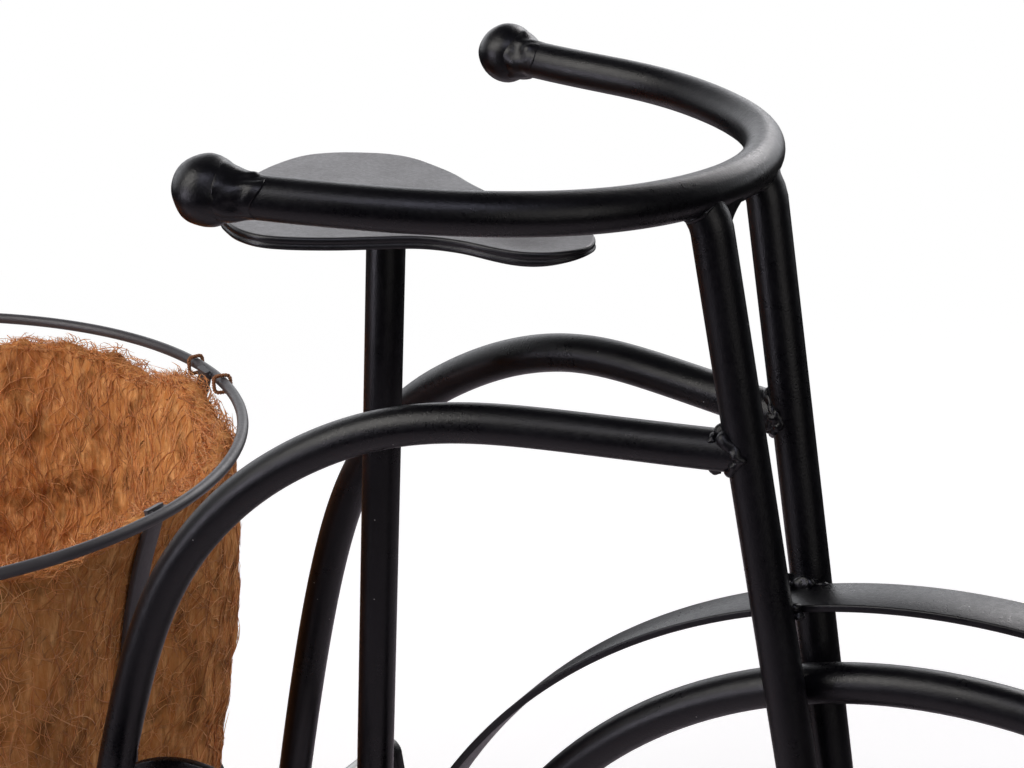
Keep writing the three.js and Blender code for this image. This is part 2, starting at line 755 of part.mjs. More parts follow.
// A flat arm with round ends, drilled for the axle and for the pedal's spindle
function crankArm() {
  const half = crankArmWidth / 2;
  const shape = new THREE.Shape();
  shape.absarc(0, 0, half, Math.PI / 2, 1.5 * Math.PI, false);
  shape.absarc(crankArmLength, 0, half, 1.5 * Math.PI, 2.5 * Math.PI, false);
  const holes = [[0, crankAxleRadius], [crankArmLength, pedalSpindleDiameter / 2]];
  shape.holes = holes.map(([x, radius]) => (
    new THREE.Path(polygon(radius + seatGap, roundSides).map((p) => new THREE.Vector2(p.x + x, p.y)))
  ));
  const flat = new THREE.ExtrudeGeometry(shape, {
    depth: crankArmThickness,
    bevelEnabled: false,
    curveSegments: armEndSteps,
  });
  return closed(flat.rotateX(Math.PI / 2).translate(0, crankArmThickness / 2, 0));
}

// A box with its width along X and its length from y = 0
function plank(width, length, height) {
  return closed(new THREE.BoxGeometry(width, length, height).translate(0, length / 2, 0));
}

// A cage of flat bars about a spindle that runs through it and through the arm
function pedal() {
  const windowWidth = (pedalWidth - 3 * pedalBarWidth) / 2;
  const windowLength = pedalLength - 2 * pedalBarWidth;
  const windows = [-1, 1].map((way) => (
    plank(windowWidth, windowLength, pedalThickness + cutOverrun)
      .translate(way * ((pedalBarWidth + windowWidth) / 2), pedalBarWidth, 0)
  ));
  const cage = cut(plank(pedalWidth, pedalLength, pedalThickness), ...windows);
  cage.translate(0, crankArmThickness / 2 + seatGap, 0);
  const spindle = alongY(0, 0, -crankArmThickness / 2, pedalLength / 2, pedalSpindleDiameter / 2);
  return join(cage, spindle);
}

function makeCrank() {
  const crank = new THREE.Group();
  const axleHalf = crankArmHalfSpacing + crankArmThickness / 2;
  crank.add(...makeChainRing());
  crank.add(makePiece('crank_axle', alongY(0, 0, -axleHalf, axleHalf, crankAxleRadius), finishes.zinc));
  for (const [name, side] of Object.entries(sides)) {
    const arm = makePiece(`crank_arm_${name}`, crankArm(), finishes.blackPaint);
    const turn = side * (Math.PI / 2) - Math.PI / 2;
    arm.position.y = side * crankArmHalfSpacing;
    arm.rotation.y = turn - crankRestAngle;
    const foot = makePiece(`pedal_${name}`, pedal(), finishes.blackPaint);
    const reach = new THREE.Vector3(crankArmLength, 0, 0).applyAxisAngle(across, turn - crankRestAngle);
    foot.position.set(reach.x, side * crankArmHalfSpacing, reach.z);
    if (side < 0) foot.rotation.z = Math.PI;
    crank.add(arm, foot);
  }
  crank.position.set(crankX, 0, crankZ);
  return crank;
}

// Rear axle and wheels

function makeRearAxle() {
  const hubOuter = rearTrack / 2 + rearHubLength / 2;
  const axleEnd = hubOuter + seatGap + capNutHeight;
  const bore = rearAxleRadius + seatGap;
  const pieces = [
    makePiece('rear_axle', alongY(0, 0, -axleEnd, axleEnd, rearAxleRadius), finishes.blackPaint),
  ];
  for (const [name, side] of Object.entries(sides)) {
    const collarY = rearTrack / 2 - rearHubLength / 2 - seatGap - collarThickness / 2;
    const collar = sleeve(bore, collarDiameter / 2, collarThickness).translate(0, side * collarY, 0);
    pieces.push(makePiece(`rear_collar_${name}`, collar, finishes.blackPaint));
    const dome = new THREE.SphereGeometry(capNutDomeRadius, domeSteps, domeRows)
      .scale(1, capNutDomeShare, 1).translate(0, capNutHeight, 0);
    const hollow = alongY(0, 0, -cutOverrun, capNutHeight + seatGap, bore);
    const nut = cut(join(hexagon(capNutAcross, capNutHeight), closed(dome)), hollow);
    if (side < 0) nut.rotateX(Math.PI);
    nut.translate(0, side * (hubOuter + seatGap), 0);
    pieces.push(makePiece(`rear_cap_nut_${name}`, nut, finishes.zinc));
  }
  for (const mesh of pieces) mesh.position.set(rearAxleX, 0, rearAxleZ);
  return pieces;
}

function makeRearWheels() {
  const pieces = [];
  const bore = rearAxleRadius + runningGap;
  const reach = spokeReach(rearRimRadius, smallRingSteps);
  for (const [name, side] of Object.entries(sides)) {
    const wheel = [
      makePiece(`rear_rim_${name}`, uprightHoop(rearRimRadius, tubeRadius, rimSides, smallRingSteps),
        finishes.blackPaint),
      makePiece(
        `rear_spokes_${name}`,
        spokedHub(rearHubDiameter / 2, rearHubLength, bore, rearSpokes, 0, reach),
        finishes.blackPaint,
      ),
    ];
    for (const mesh of wheel) mesh.position.set(rearAxleX, side * (rearTrack / 2), rearAxleZ);
    pieces.push(...wheel);
  }
  return pieces;
}

// Basket

const stripTopRadius = basketRingRadius - wireRadius - seatGap - stripThickness / 2;
const stripFootRadius = baseRingRadius + wireRadius + seatGap + stripThickness / 2;
const bayAngle = (2 * Math.PI) / basketStrips;

function stripLine() {
  const bowed = basketProfileShares.map(([depth, radius]) => (
    [radius * basketRingRadius, basketRingZ - depth * basketDepth]
  ));
  return [
    [stripTopRadius, basketRingZ + stripAboveRing],
    [stripTopRadius, basketRingZ - wireRadius - seatGap],
    ...bowed,
    [stripFootRadius, baseRingZ + wireRadius],
    [stripFootRadius, baseRingZ - wireRadius],
  ];
}

// Depth levels of the liner: height, radius beside a strip and radius in the middle of a bay
function linerLevels() {
  const land = stripThickness / 2 + linerLandClearance;
  const levels = basketProfileShares.map(([depth, strip, bulge]) => [
    basketRingZ - depth * basketDepth,
    Math.min(strip * basketRingRadius - land, bulge * basketRingRadius),
    bulge * basketRingRadius,
  ]);
  const topRadius = stripTopRadius - land;
  return [[basketRingZ - linerBelowRing, topRadius, topRadius], ...levels];
}

function linerRing([z, beside, bulged], inset) {
  const ring = [];
  const landAngle = Math.asin((stripWidth / 2 + linerLandClearance) / beside);
  const openAngle = bayAngle - 2 * landAngle;
  for (let bay = 0; bay < basketStrips; bay += 1) {
    const start = bay * bayAngle;
    const places = [[start - landAngle, 0], [start + landAngle, 0]];
    for (const [at, bulge] of baySpanShares) places.push([start + landAngle + at * openAngle, bulge]);
    for (const [angle, bulge] of places) {
      const radius = THREE.MathUtils.lerp(beside, bulged, bulge) - inset;
      ring.push(new THREE.Vector3(radius * Math.cos(angle), radius * Math.sin(angle), z));
    }
  }
  return ring;
}

function tieLoop(angle, grow) {
  const squared = (value) => Math.sign(value) * Math.abs(value) ** tieSquareness;
  const points = [];
  for (let i = 0; i < tieSteps; i += 1) {
    const turn = (i / tieSteps) * 2 * Math.PI;
    points.push(new THREE.Vector3(
      basketRingRadius - tieInsideRing + tieHalfWidth * squared(Math.cos(turn)),
      0,
      basketRingZ - tieBelowRing + tieHalfHeight * squared(Math.sin(turn)),
    ));
  }
  const rings = points.map((point, i) => {
    const before = points[(i + tieSteps - 1) % tieSteps];
    const along = points[(i + 1) % tieSteps].clone().sub(before).normalize();
    const out = new THREE.Vector3().crossVectors(across, along);
    return polygon(tieDiameter / 2 + grow, tieSides).map((unit) => (
      point.clone().addScaledVector(out, unit.x).addScaledVector(across, unit.y)
    ));
  });
  const faces = [];
  for (let r = 0; r < tieSteps; r += 1) {
    for (let i = 0; i < tieSides; i += 1) {
      const [a, b] = [r * tieSides + i, r * tieSides + ((i + 1) % tieSides)];
      const [c, d] = [a, b].map((corner) => (corner + tieSides) % (tieSteps * tieSides));
      faces.push(a, b, d, a, d, c);
    }
  }
  const loop = new THREE.BufferGeometry().setFromPoints(rings.flat());
  loop.setIndex(faces);
  return closed(loop).rotateZ(angle);
}

function tieAngles() {
  const beside = tieFromStrip / basketRingRadius;
  const angles = [];
  for (let strip = 1; strip < basketStrips; strip += 1) {
    if (strip !== basketStrips / 2) angles.push(strip * bayAngle - beside, strip * bayAngle + beside);
  }
  return angles;
}

function linerSolid() {
  const levels = linerLevels();
  const floorZ = linerBottomZ + linerThickness;
  const bottomRadius = linerBottomShare * basketRingRadius;
  const floorRadius = linerFloorShare * basketRingRadius;
  const outer = levels.map((level) => linerRing(level, 0));
  const above = levels.filter(([z]) => z > floorZ + linerThickness);
  const inner = above.map((level) => linerRing(level, linerThickness));
  const bottom = linerRing([linerBottomZ, bottomRadius, bottomRadius], 0);
  const floor = linerRing([floorZ, floorRadius, floorRadius], 0);
  return loft([bottom, ...outer.reverse(), ...inner, floor]);
}

function makeBasket() {
  const basket = new THREE.Group();
  const topRing = levelHoop(basketRingRadius, wireRadius, wireSides, ringSteps);
  basket.add(makePiece('basket_top_ring', topRing.translate(0, 0, basketRingZ), finishes.basketPaint));
  for (let i = 0; i < basketStrips; i += 1) {
    const strip = bentStrip(stripLine(), stripThickness, stripWidth).rotateZ(i * bayAngle);
    basket.add(makePiece(`basket_strip_${i + 1}`, strip, finishes.basketPaint));
  }
  const baseRing = levelHoop(baseRingRadius, wireRadius, wireSides, smallRingSteps);
  basket.add(makePiece('basket_base_ring', baseRing.translate(0, 0, baseRingZ), finishes.basketPaint));
  const floorReach = stripFootRadius - stripThickness / 2 - seatGap;
  const straight = [[-floorReach, floorStripZ], [floorReach, floorStripZ]];
  const humpFoot = floorHumpHalf + floorHumpSlope;
  const humped = [
    [-floorReach, floorStripZ], [-humpFoot, floorStripZ], [-floorHumpHalf, floorHumpZ],
    [floorHumpHalf, floorHumpZ], [humpFoot, floorStripZ], [floorReach, floorStripZ],
  ];
  const lowerStrip = bentStrip(straight, stripThickness, stripWidth);
  const upperStrip = bentStrip(humped, stripThickness, stripWidth).rotateZ(Math.PI / 2);
  basket.add(makePiece('basket_floor_strip_1', lowerStrip, finishes.basketPaint));
  basket.add(makePiece('basket_floor_strip_2', upperStrip, finishes.basketPaint));
  const liner = cut(linerSolid(), ...tieAngles().map((angle) => tieLoop(angle, seatGap)));
  basket.add(makePiece('coir_liner', liner, finishes.coir));
  tieAngles().forEach((angle, i) => {
    basket.add(makePiece(`liner_tie_${i + 1}`, tieLoop(angle, 0), finishes.twine));
  });
  basket.position.x = basketX;
  return basket;
}

const planter = new THREE.Group();
planter.add(
  ...makeHandlebar(),
  ...makeFork(),
  makeMudguard(),
  ...makeFrameTubes(),
  makeSeatPost(),
  makeSaddle(),
  ...makeLowerFrame(),
  makeCrank(),
  ...makeFrontWheel(),
  ...makeFrontAxle(),
  ...makeRearAxle(),
  ...makeRearWheels(),
  makeBasket(),
);
planter.position.x = centreShift;

export default planter;
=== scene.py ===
"""A bicycle planter: welded round tube, pressed fork legs, a sheet saddle and a coir-lined basket, drawn around the
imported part. Lengths inside the functions are millimetres in the part's own layout, and every mesh is turned into
metres of the shared frame when it is made."""

import math

import bpy
import numpy as np
from mathutils import Matrix, Vector


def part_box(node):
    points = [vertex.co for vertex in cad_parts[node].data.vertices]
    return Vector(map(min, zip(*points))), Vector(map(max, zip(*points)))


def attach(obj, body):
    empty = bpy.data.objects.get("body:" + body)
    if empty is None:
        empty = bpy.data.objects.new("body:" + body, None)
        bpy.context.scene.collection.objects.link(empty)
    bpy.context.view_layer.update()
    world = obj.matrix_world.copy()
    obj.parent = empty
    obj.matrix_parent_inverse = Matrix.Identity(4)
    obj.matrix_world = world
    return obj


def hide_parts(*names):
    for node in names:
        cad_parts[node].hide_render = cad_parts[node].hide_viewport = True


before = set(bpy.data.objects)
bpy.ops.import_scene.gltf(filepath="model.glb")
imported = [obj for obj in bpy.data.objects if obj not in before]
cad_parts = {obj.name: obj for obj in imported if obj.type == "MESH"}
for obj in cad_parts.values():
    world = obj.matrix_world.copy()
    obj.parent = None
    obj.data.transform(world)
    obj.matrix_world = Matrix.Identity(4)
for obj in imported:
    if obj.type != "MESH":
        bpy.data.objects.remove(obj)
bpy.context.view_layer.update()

bl_info = {
    "name": "Bicycle planter",
    "version": (1, 0, 0),
    "blender": (4, 2, 0),
    "location": "View3D > Sidebar > Planter",
    "description": "Builds a tricycle-shaped planter with a coir-lined basket around its packed frame",
    "category": "Add Mesh",
}

MM = 0.001
TAU = 2 * math.pi
X_AXIS = np.array([1.0, 0.0, 0.0])
Y_AXIS = np.array([0.0, 1.0, 0.0])
Z_AXIS = np.array([0.0, 0.0, 1.0])
SIDES = {"right": -1, "left": 1}

# Layout, in millimetres. Shares are of the length, width or depth named beside them. A hub, shell or collar is bore,
# radius and length, the chain ring inner and outer radius and thickness, the cap nut width, height and the dome's
# radius, and a tack a place and a size.
GAP = 0.3
SMALL_BEAD = 0.8
FRONT_AXLE = np.array([91.9, 0.0, 190.9])
FRONT_RIM_RADIUS = 184.55
FRONT_HUB = (4.3, 9, 12)
FRONT_SPOKES = 8
FRONT_SPOKE_ANGLE = math.radians(20)
SPOKE_RADIUS = 2.5
BAR_FRONT = (8.9, 522.7)
BAR_REACH = 133.7
BAR_HALF_WIDTH = 100.0
BAR_RISE = 5.4
BAR_SHARES = [
    (0.865, -1.003), (0.773, -0.987), (0.585, -0.911), (0.347, -0.782), (0.123, -0.55), (0, -0.191),
    (0, 0.191), (0.123, 0.55), (0.347, 0.782), (0.585, 0.911), (0.82, 0.907), (1, 0.972),
]
BALL_RADIUS = 10.25
NECK = (5.4, 16.5)
NECK_RISE = 2.4
FORK_TOP_HALF_SPACING = 19.4
FORK_TOP_OFFSET = np.array([1.9, 0.0, -3.0])
FORK_TOP_BLEND = 7.0
FORK_LEAN = math.radians(10.4)
FORK_BEND_HALF_SPACING = 10.77
FORK_BEND_Z = 300.0
FORK_END_ANGLE = math.radians(33)
FORK_FLAT = (4.4, 17.0, 20.0, 28.0)
FORK_TAB_MIDDLE = 10.3
FORK_TAB_BEYOND = 9.0
FORK_FACE_Y = 12.8
FORK_WEB = ((15, 0), (6, 5), (4, 8), (0, 16))
FORK_WEB_RADIUS = 4.6
BOLT_HEX = 13
BOLT_HEIGHTS = (5.3, 6.5)
BOLT_RADIUS = 4
WASHER_Y = 7.05
GUARD_CENTRE = (96.7, 185.0)
GUARD_RADIUS = 219.2
GUARD_ANGLES = (math.radians(48), math.radians(156))
GUARD_BAND = (18.5, 2.4)
GUARD_TACKS = (
    (-4.5, 1.0, 2.2, 2.4), (0.5, 0.4, 2.6, 2.9), (4.6, 1.2, 1.8, 2.3), (2.0, 2.4, 3.6, 1.7), (6.3, 2.6, 0.6, 1.6),
    (-6.0, 2.8, 0.4, 1.5),
)
FRAME_START = (15.0, 16.3, 444.5)
FRAME_PLAN_ANGLE = math.radians(12)
ARCH_RUN = 221.0
ARCH_DROP = 200.0
ARCH_SHARES = {
    "right": [(0.172, 0.0015), (0.376, 0.014), (0.593, -0.0545), (0.827, -0.258), (0.917, -0.539), (1, -1)],
    "left": [(0.168, 0.017), (0.348, 0.0405), (0.595, -0.0725), (0.813, -0.259), (0.919, -0.5525), (1, -1)],
}
SWEEP_RUN = 90.0
FRAME_LOW_Z = 125.65
TAIL_X = -425.0
REAR_AXLE = np.array([-400.0, 0.0, 113.0])
REAR_RIM_RADIUS = 106.65
REAR_TRACK = 290.0
REAR_HUB = (6.3, 11, 24)
REAR_SPOKES = 6
REAR_AXLE_RADIUS = 6.0
COLLAR = (6.3, 10, 6)
CAP_NUT = (19, 9, 8)
SADDLE_NOSE_X = -34.6
SADDLE_LENGTH = 139.4
SADDLE_TUCK = 14.0
SADDLE_EDGE = 0.9
SADDLE_HALF_WIDTH = 51.5
SADDLE_TOP_Z = 498.2
SADDLE_RELIEF = 0.9
SADDLE_SHARES = [
    (0.01, -0.19), (0.042, -0.345), (0.1, -0.435), (0.189, -0.468), (0.275, -0.468), (0.362, -0.511), (0.448, -0.629),
    (0.534, -0.765), (0.62, -0.88), (0.684, -0.922), (0.749, -0.88), (0.804, -0.786), (0.843, -0.693), (0.907, -0.485),
    (0.957, -0.194), (0.988, 0.155), (1, 0.466), (0.985, 0.763), (0.93, 0.95), (0.853, 1.054), (0.792, 1.078),
    (0.732, 1.052), (0.663, 0.977), (0.577, 0.864), (0.491, 0.705), (0.405, 0.559), (0.319, 0.456), (0.232, 0.384),
    (0.146, 0.301), (0.082, 0.184), (0.026, 0),
]
SADDLE_HEM = [
    (0.0, -1.5), (0.22, -1.9), (0.25, -2.15), (0.05, -2.5), (-0.15, -3.0), (-0.1, -3.6), (0.25, -4.0), (0.8, -4.2),
    (1.4, -4.05), (2.0, -3.6), (2.1, -2.4),
]
POST_TOP = np.array([-113.4, 0.0, 495.8])
POST_FOOT = np.array([-124.4, 0.0, 251.4])
CRANK = np.array([-167.0, 0.0, 251.4])
CRANK_REST_ANGLE = math.radians(-80)
CRANK_ARM_LENGTH = 57.0
CRANK_ARM_Y = 75.0
CRANK_ARM_THICK = 5.0
CRANK_SHELL = (5.3, 14, 36)
CHAIN_RING = (45.3, 52.3, 3)
CHAIN_RING_Y = -43
CRANK_AXLE_RADIUS = 5
SPIDER_HUB = (5.3, 9, 10)
SPIDER_ARMS = 5
PEDAL_RAILS_X = (-10, 0, 10)
PEDAL_ENDS_Y = (5.8, 41.8)
LOWER_BAR_FRONT_X = -114
CROSS_TUBE_Z = 195.0
BASKET_X = -361.5
RING_Z = 370.4
BASE_RING_Z = 134.55
FLOOR_STRIP_Z = 138.3
FLOOR_BENDS = ((-19, 138.3), (-11, 141.0), (11, 141.0), (19, 138.3))
LINER_BOTTOM_Z = 142.5
LINER_THICKNESS = 9.0
LINER_LAND = 1.2
LINER_FOOT = 0.68
RIM_BULGE = (2.6, 2.4)
RIM_BELOW = 4.2
BAY_RADIUS = 130
FLOOR_RADIUS = 80
STRIPS = 6
STRIP_SIZE = (9.0, 2.4)
TOP_TACKS = (
    ((1.6, 3.4, 1.0), (1.4, 1.9, 1.0)), ((1.6, -3.6, 0.8), (1.3, 1.7, 1.1)), ((1.4, 1.0, -2.6), (1.3, 3.0, 0.9)),
)
BASE_TACKS = (((-1.6, 0.5, 2.1), (1.4, 3.2, 1.1)), ((-1.6, -0.5, -2.1), (1.4, 3.0, 1.0)))
PROFILE_SHARES = [
    (0.1, 0.931, 0.979), (0.2, 0.893, 0.981), (0.32, 0.868, 0.973), (0.46, 0.852, 0.945),
    (0.6, 0.836, 0.905), (0.75, 0.808, 0.878), (0.88, 0.768, 0.815), (0.96, 0.738, 0.745),
]
# Dips in the liner's ragged rim: the angle in degrees, the depth and the width in degrees
RIM_DIPS = (
    (80, 3.5, 4), (74, 7.0, 4), (60, -2.4, 4), (49, 3.5, 3), (96, 3.0, 7), (110, 6.0, 6), (135, 5.0, 8), (160, 6.0, 6),
    (205, 4.0, 6), (228, 7.0, 7), (262, 5.0, 6), (285, 3.0, 6), (318, 5.0, 7), (342, 3.0, 5), (20, 2.0, 5),
)
# Loose fibres: the spread of their directions in degrees, the scale of their lengths and the spread of their bends
FIBRE_KINDS = {"inside": (26, 3.6, 0.7), "outside": (38, 4.2, 1.2), "rim": (60, 1.9, 0.9), "floor": (180, 6.0, 0.9)}
FIBRE_STEPS = 6
FIBRE_SIDES = 3
TIED_STRIPS = (1, 2, 4, 5)
TIE_BESIDE = 13.9

# Stage, in metres: the floor that the camera sees fades to pure white between two distances from the middle, and the
# floor that lights the object darkens between two others. A light has a name, place, aim, size, watts and colour.
WHITE = (1, 1, 1)
FLOOR_HALF = 9.0
FLOOR_FADE = (0.5, 1.6)
FLOOR_LIFT = 0.34
FLOOR_BOUNCE = (0.62, 0.55, 0.6)
FLOOR_BEYOND = (0.03, 0.03, 0.03)
TABLE_EDGE = (0.6, 1.0)
BACKDROP = (-0.4985, 0.867, 0.0)
BACKDROP_EDGE = (0.1, 0.75)
BACKDROP_TOP = (0.34, 0.62)
BACKDROP_LIGHT = 1.5
ROOM_LIGHT = 0.06
LIGHTS = (
    ("key", (-1.6, -2.0, 2.3), (0, 0, 0.35), (2.2, 2.2), 66, (1.0, 0.97, 0.93)),
    ("front", (0.62, -1.62, 2.45), (0, 0, 0.45), (1.3, 1.0), 14, (0.8, 0.8, 1.0)),
    ("side", (-1.45, -1.9, 0.45), (0, 0, 0.4), (0.7, 0.9), 12, (0.9, 0.86, 1.0)),
    ("fill", (2.1, -1.2, 1.1), (0, 0, 0.35), (1.6, 1.6), 9, (1.0, 0.96, 0.93)),
    ("back", (0.2, 2.6, 1.9), (0, 0, 0.35), (2.0, 1.0), 30, (1.0, 0.97, 0.98)),
)
SENSOR_AND_LENS = (36.0, 82.27)
CAMERA_PLACE = (0.3948, -0.6028, 0.6979)
CAMERA_TURN = (math.radians(70.08), 0, math.radians(29.90))


# Sizes and looks that a user would change

LENGTH = {"precision": 4, "unit": "LENGTH", "subtype": "DISTANCE"}
COLOR = {"subtype": "COLOR", "size": 3, "min": 0, "max": 1}


class PlanterSizes(bpy.types.PropertyGroup):
    """Sizes of the stock and of the basket."""

    tube_diameter: bpy.props.FloatProperty(
        name="Tube diameter", description="Outer diameter of the frame's round tube",
        default=0.0127, min=0.006, max=0.02, **LENGTH)
    wire_diameter: bpy.props.FloatProperty(
        name="Hoop wire diameter", description="Diameter of the basket's hoop wire",
        default=0.0045, min=0.002, max=0.008, **LENGTH)
    ring_diameter: bpy.props.FloatProperty(
        name="Basket hoop diameter", description="Centre-line diameter of the basket's top hoop",
        default=0.3004, min=0.2, max=0.4, **LENGTH)
    base_diameter: bpy.props.FloatProperty(
        name="Base hoop diameter", description="Centre-line diameter of the basket's base hoop",
        default=0.21028, min=0.1, max=0.3, **LENGTH)
    bead_radius: bpy.props.FloatProperty(
        name="Weld bead radius", description="Mean radius of the weld beads",
        default=0.0019, min=0.0005, max=0.004, **LENGTH)


class PlanterLooks(bpy.types.PropertyGroup):
    """Colours and amounts of the finishes."""

    paint: bpy.props.FloatVectorProperty(
        name="Frame paint", description="Colour of the powder coat on the frame",
        **COLOR, default=(0.0011, 0.0009, 0.0019))
    # Saddle top: a painted sheen. Up-facing faces of the saddle get this paler colour in place of the bright
    # backdrop's reflection.
    saddle: bpy.props.FloatVectorProperty(
        name="Saddle top", description="Colour of the dusty upper side of the saddle",
        **COLOR, default=(0.105, 0.1, 0.102))
    basket: bpy.props.FloatVectorProperty(
        name="Basket paint", description="Colour of the basket's powder coat",
        **COLOR, default=(0.048, 0.045, 0.048))
    coir_dark: bpy.props.FloatVectorProperty(
        name="Coir shade", description="Colour of the coir between its fibres",
        **COLOR, default=(0.6, 0.215, 0.055))
    coir_light: bpy.props.FloatVectorProperty(
        name="Coir fibre", description="Colour of the palest coir fibres",
        **COLOR, default=(1.0, 0.54, 0.22))
    fibres: bpy.props.IntProperty(
        name="Fibres a patch", description="Number of loose coir fibres in each patch of the liner",
        default=5200, min=100, max=6000)
    peel: bpy.props.FloatProperty(
        name="Orange peel", description="Strength of the powder coat's fine waviness",
        subtype="FACTOR", default=0.45, min=0, max=1)


# Shapes from formulas


def unit(vectors):
    return vectors / np.linalg.norm(vectors, axis=-1, keepdims=True)


def spline(controls, count):
    """Cubic B-spline with clamped ends: the sum of its control points weighted by the cubic basis functions over
    evenly spaced knots, each built from the two of the degree below."""
    controls = np.asarray(controls, float)
    spans = len(controls) - 3
    knots = np.concatenate([np.zeros(3), np.linspace(0, 1, spans + 1), np.ones(3)])
    t = (np.linspace(0, 1, count) * (1 - 1e-12))[:, None]
    basis = ((t >= knots[:-1]) & (t < knots[1:])).astype(float)
    for degree in (1, 2, 3):
        left = knots[degree:-1] - knots[:-degree - 1]
        right = knots[degree + 1:] - knots[1:-degree]
        rise = (t - knots[:-degree - 1]) / np.where(left > 0, left, np.inf)
        fall = (knots[degree + 1:] - t) / np.where(right > 0, right, np.inf)
        basis = rise[:, :basis.shape[1] - 1] * basis[:, :-1] + fall[:, :basis.shape[1] - 1] * basis[:, 1:]
    return basis @ controls


def bezier(a, b, c, d, count):
    """Cubic curve a(1-t)^3 + 3b t(1-t)^2 + 3c t^2(1-t) + d t^3."""
    t = np.linspace(0, 1, count)[:, None]
    return a * (1 - t) ** 3 + 3 * b * t * (1 - t) ** 2 + 3 * c * t**2 * (1 - t) + d * t**3


def through(points, count, closed=False):
    """Smooth curve through points: between each pair a cubic whose slope at a point is half the chord between its
    neighbours."""
    points = np.asarray(points, float)
    if closed:
        padded = np.concatenate([points[-1:], points, points[:2]])
    else:
        padded = np.concatenate([2 * points[:1] - points[1:2], points, 2 * points[-1:] - points[-2:-1]])
    spans = len(padded) - 3
    at = np.linspace(0, spans, count, endpoint=not closed)
    k = np.minimum(at.astype(int), spans - 1)
    t = (at - k)[:, None]
    p0, p1, p2, p3 = (padded[k + i] for i in range(4))
    return 0.5 * (2 * p1 + (p2 - p0) * t + (2 * p0 - 5 * p1 + 4 * p2 - p3) * t**2 + (3 * p1 - p0 - 3 * p2 + p3) * t**3)


def even(points, count):
    """The same line with its points at equal steps of length."""
    gaps = np.linalg.norm(np.diff(points, axis=0), axis=1)
    along = np.concatenate([[0], np.cumsum(gaps)])
    at = np.linspace(0, along[-1], count)
    return np.stack([np.interp(at, along, points[:, k]) for k in range(points.shape[1])], axis=1)


def even_outline(outline, count):
    """A closed outline with its points at equal steps of length."""
    return even(np.concatenate([outline, outline[:1]]), count + 1)[:-1]


def nearest(values, wanted):
    """Index of the value closest to the wanted one."""
    return np.argmin(np.abs(values - wanted))


def full_turn(steps):
    """Angles at equal steps round a circle."""
    return np.arange(steps) / steps * TAU


def about_z(radius, angle, z):
    """Points at a radius, an angle about the Z axis and a height."""
    return np.stack(np.broadcast_arrays(radius * np.cos(angle), radius * np.sin(angle), z), axis=-1)


def upright(flat, y=0.0):
    """Points of a drawing in the XZ plane, at one y."""
    return np.stack([flat[:, 0], np.full(len(flat), y), flat[:, 1]], axis=1)


def quarter_round(edge, steps=4):
    """Steps of a quarter-round edge: how far each is from the end and how far inside the side."""
    bend = np.linspace(0, math.pi / 2, steps)
    return edge * (1 - np.cos(bend)), edge * (1 - np.sin(bend))


def shrunk(outline, centre, share):
    return centre + (outline - centre) * share


def circle(radius, sides):
    return about_z(radius, full_turn(sides), 0.0)[:, :2]


def rounded_box(width, height, radius, steps=5):
    """Outline of a box with quarter-round corners."""
    turn = np.radians(np.arange(4)[:, None] * 90 + np.linspace(0, 90, steps))
    across = np.array([1, -1, -1, 1])[:, None] * (width / 2 - radius) + radius * np.cos(turn)
    up = np.array([1, 1, -1, -1])[:, None] * (height / 2 - radius) + radius * np.sin(turn)
    return np.stack([across.ravel(), up.ravel()], axis=1)


def ripple(points, wavelength, seed, waves=12):
    """Smooth noise of about -1 to 1: a sum of plane sine waves in seeded directions."""
    rng = np.random.default_rng(seed)
    pitch = unit(rng.normal(size=(waves, 3))) * (TAU / wavelength) * rng.uniform(0.6, 1.5, (waves, 1))
    phase = rng.uniform(0, TAU, waves)
    return np.sin(points @ pitch.T + phase).sum(-1) / math.sqrt(waves)


def swept(path, section, across, closed=False):
    """Rings of a section carried along a path. At a point with direction T the section's first coordinate runs along
    A, the part of `across` square to T, and its second along T x A."""
    path = np.asarray(path, float)
    along = np.roll(path, -1, 0) - np.roll(path, 1, 0) if closed else np.gradient(path, axis=0)
    along = unit(along)
    across = np.broadcast_to(across, path.shape)
    first = unit(across - (across * along).sum(-1, keepdims=True) * along)
    second = np.cross(along, first)
    section = np.broadcast_to(section, (len(path),) + np.shape(section)[-2:])
    return path[:, None] + section[..., :1] * first[:, None] + section[..., 1:] * second[:, None]


def skin(rings, loop=False):
    """Closed shell over rings of points: quads between neighbours, and either the last ring joined to the first or a
    fan over each end. Its faces are turned outwards by the sign of its volume."""
    count, sides = rings.shape[:2]
    index = np.arange(count * sides).reshape(count, sides)
    lower, upper = (index, np.roll(index, -1, 0)) if loop else (index[:-1], index[1:])
    quads = np.stack([lower, np.roll(lower, -1, 1), np.roll(upper, -1, 1), upper], axis=-1).reshape(-1, 4)
    points = rings.reshape(-1, 3)
    triangles = np.zeros((0, 3), int)
    if not loop:
        points = np.concatenate([points, rings[:1].mean(1), rings[-1:].mean(1)])
        first, last = index[0], index[-1]
        start = np.stack([np.roll(first, -1), first, np.full(sides, count * sides)], axis=1)
        end = np.stack([last, np.roll(last, -1), np.full(sides, count * sides + 1)], axis=1)
        triangles = np.concatenate([start, end])
    split = np.concatenate([quads[:, [0, 1, 2]], quads[:, [0, 2, 3]], triangles])
    a, b, c = (points[split[:, k]] for k in range(3))
    if (a * np.cross(b, c)).sum() < 0:
        quads, triangles = quads[:, ::-1], triangles[:, ::-1]
    return points, quads, triangles


def merged(*shells):
    """Several shells as one."""
    starts = np.cumsum([0] + [len(s[0]) for s in shells[:-1]])
    points = np.concatenate([s[0] for s in shells])
    quads = np.concatenate([s[1] + n for s, n in zip(shells, starts)])
    triangles = np.concatenate([s[2] + n for s, n in zip(shells, starts)])
    return points, quads, triangles


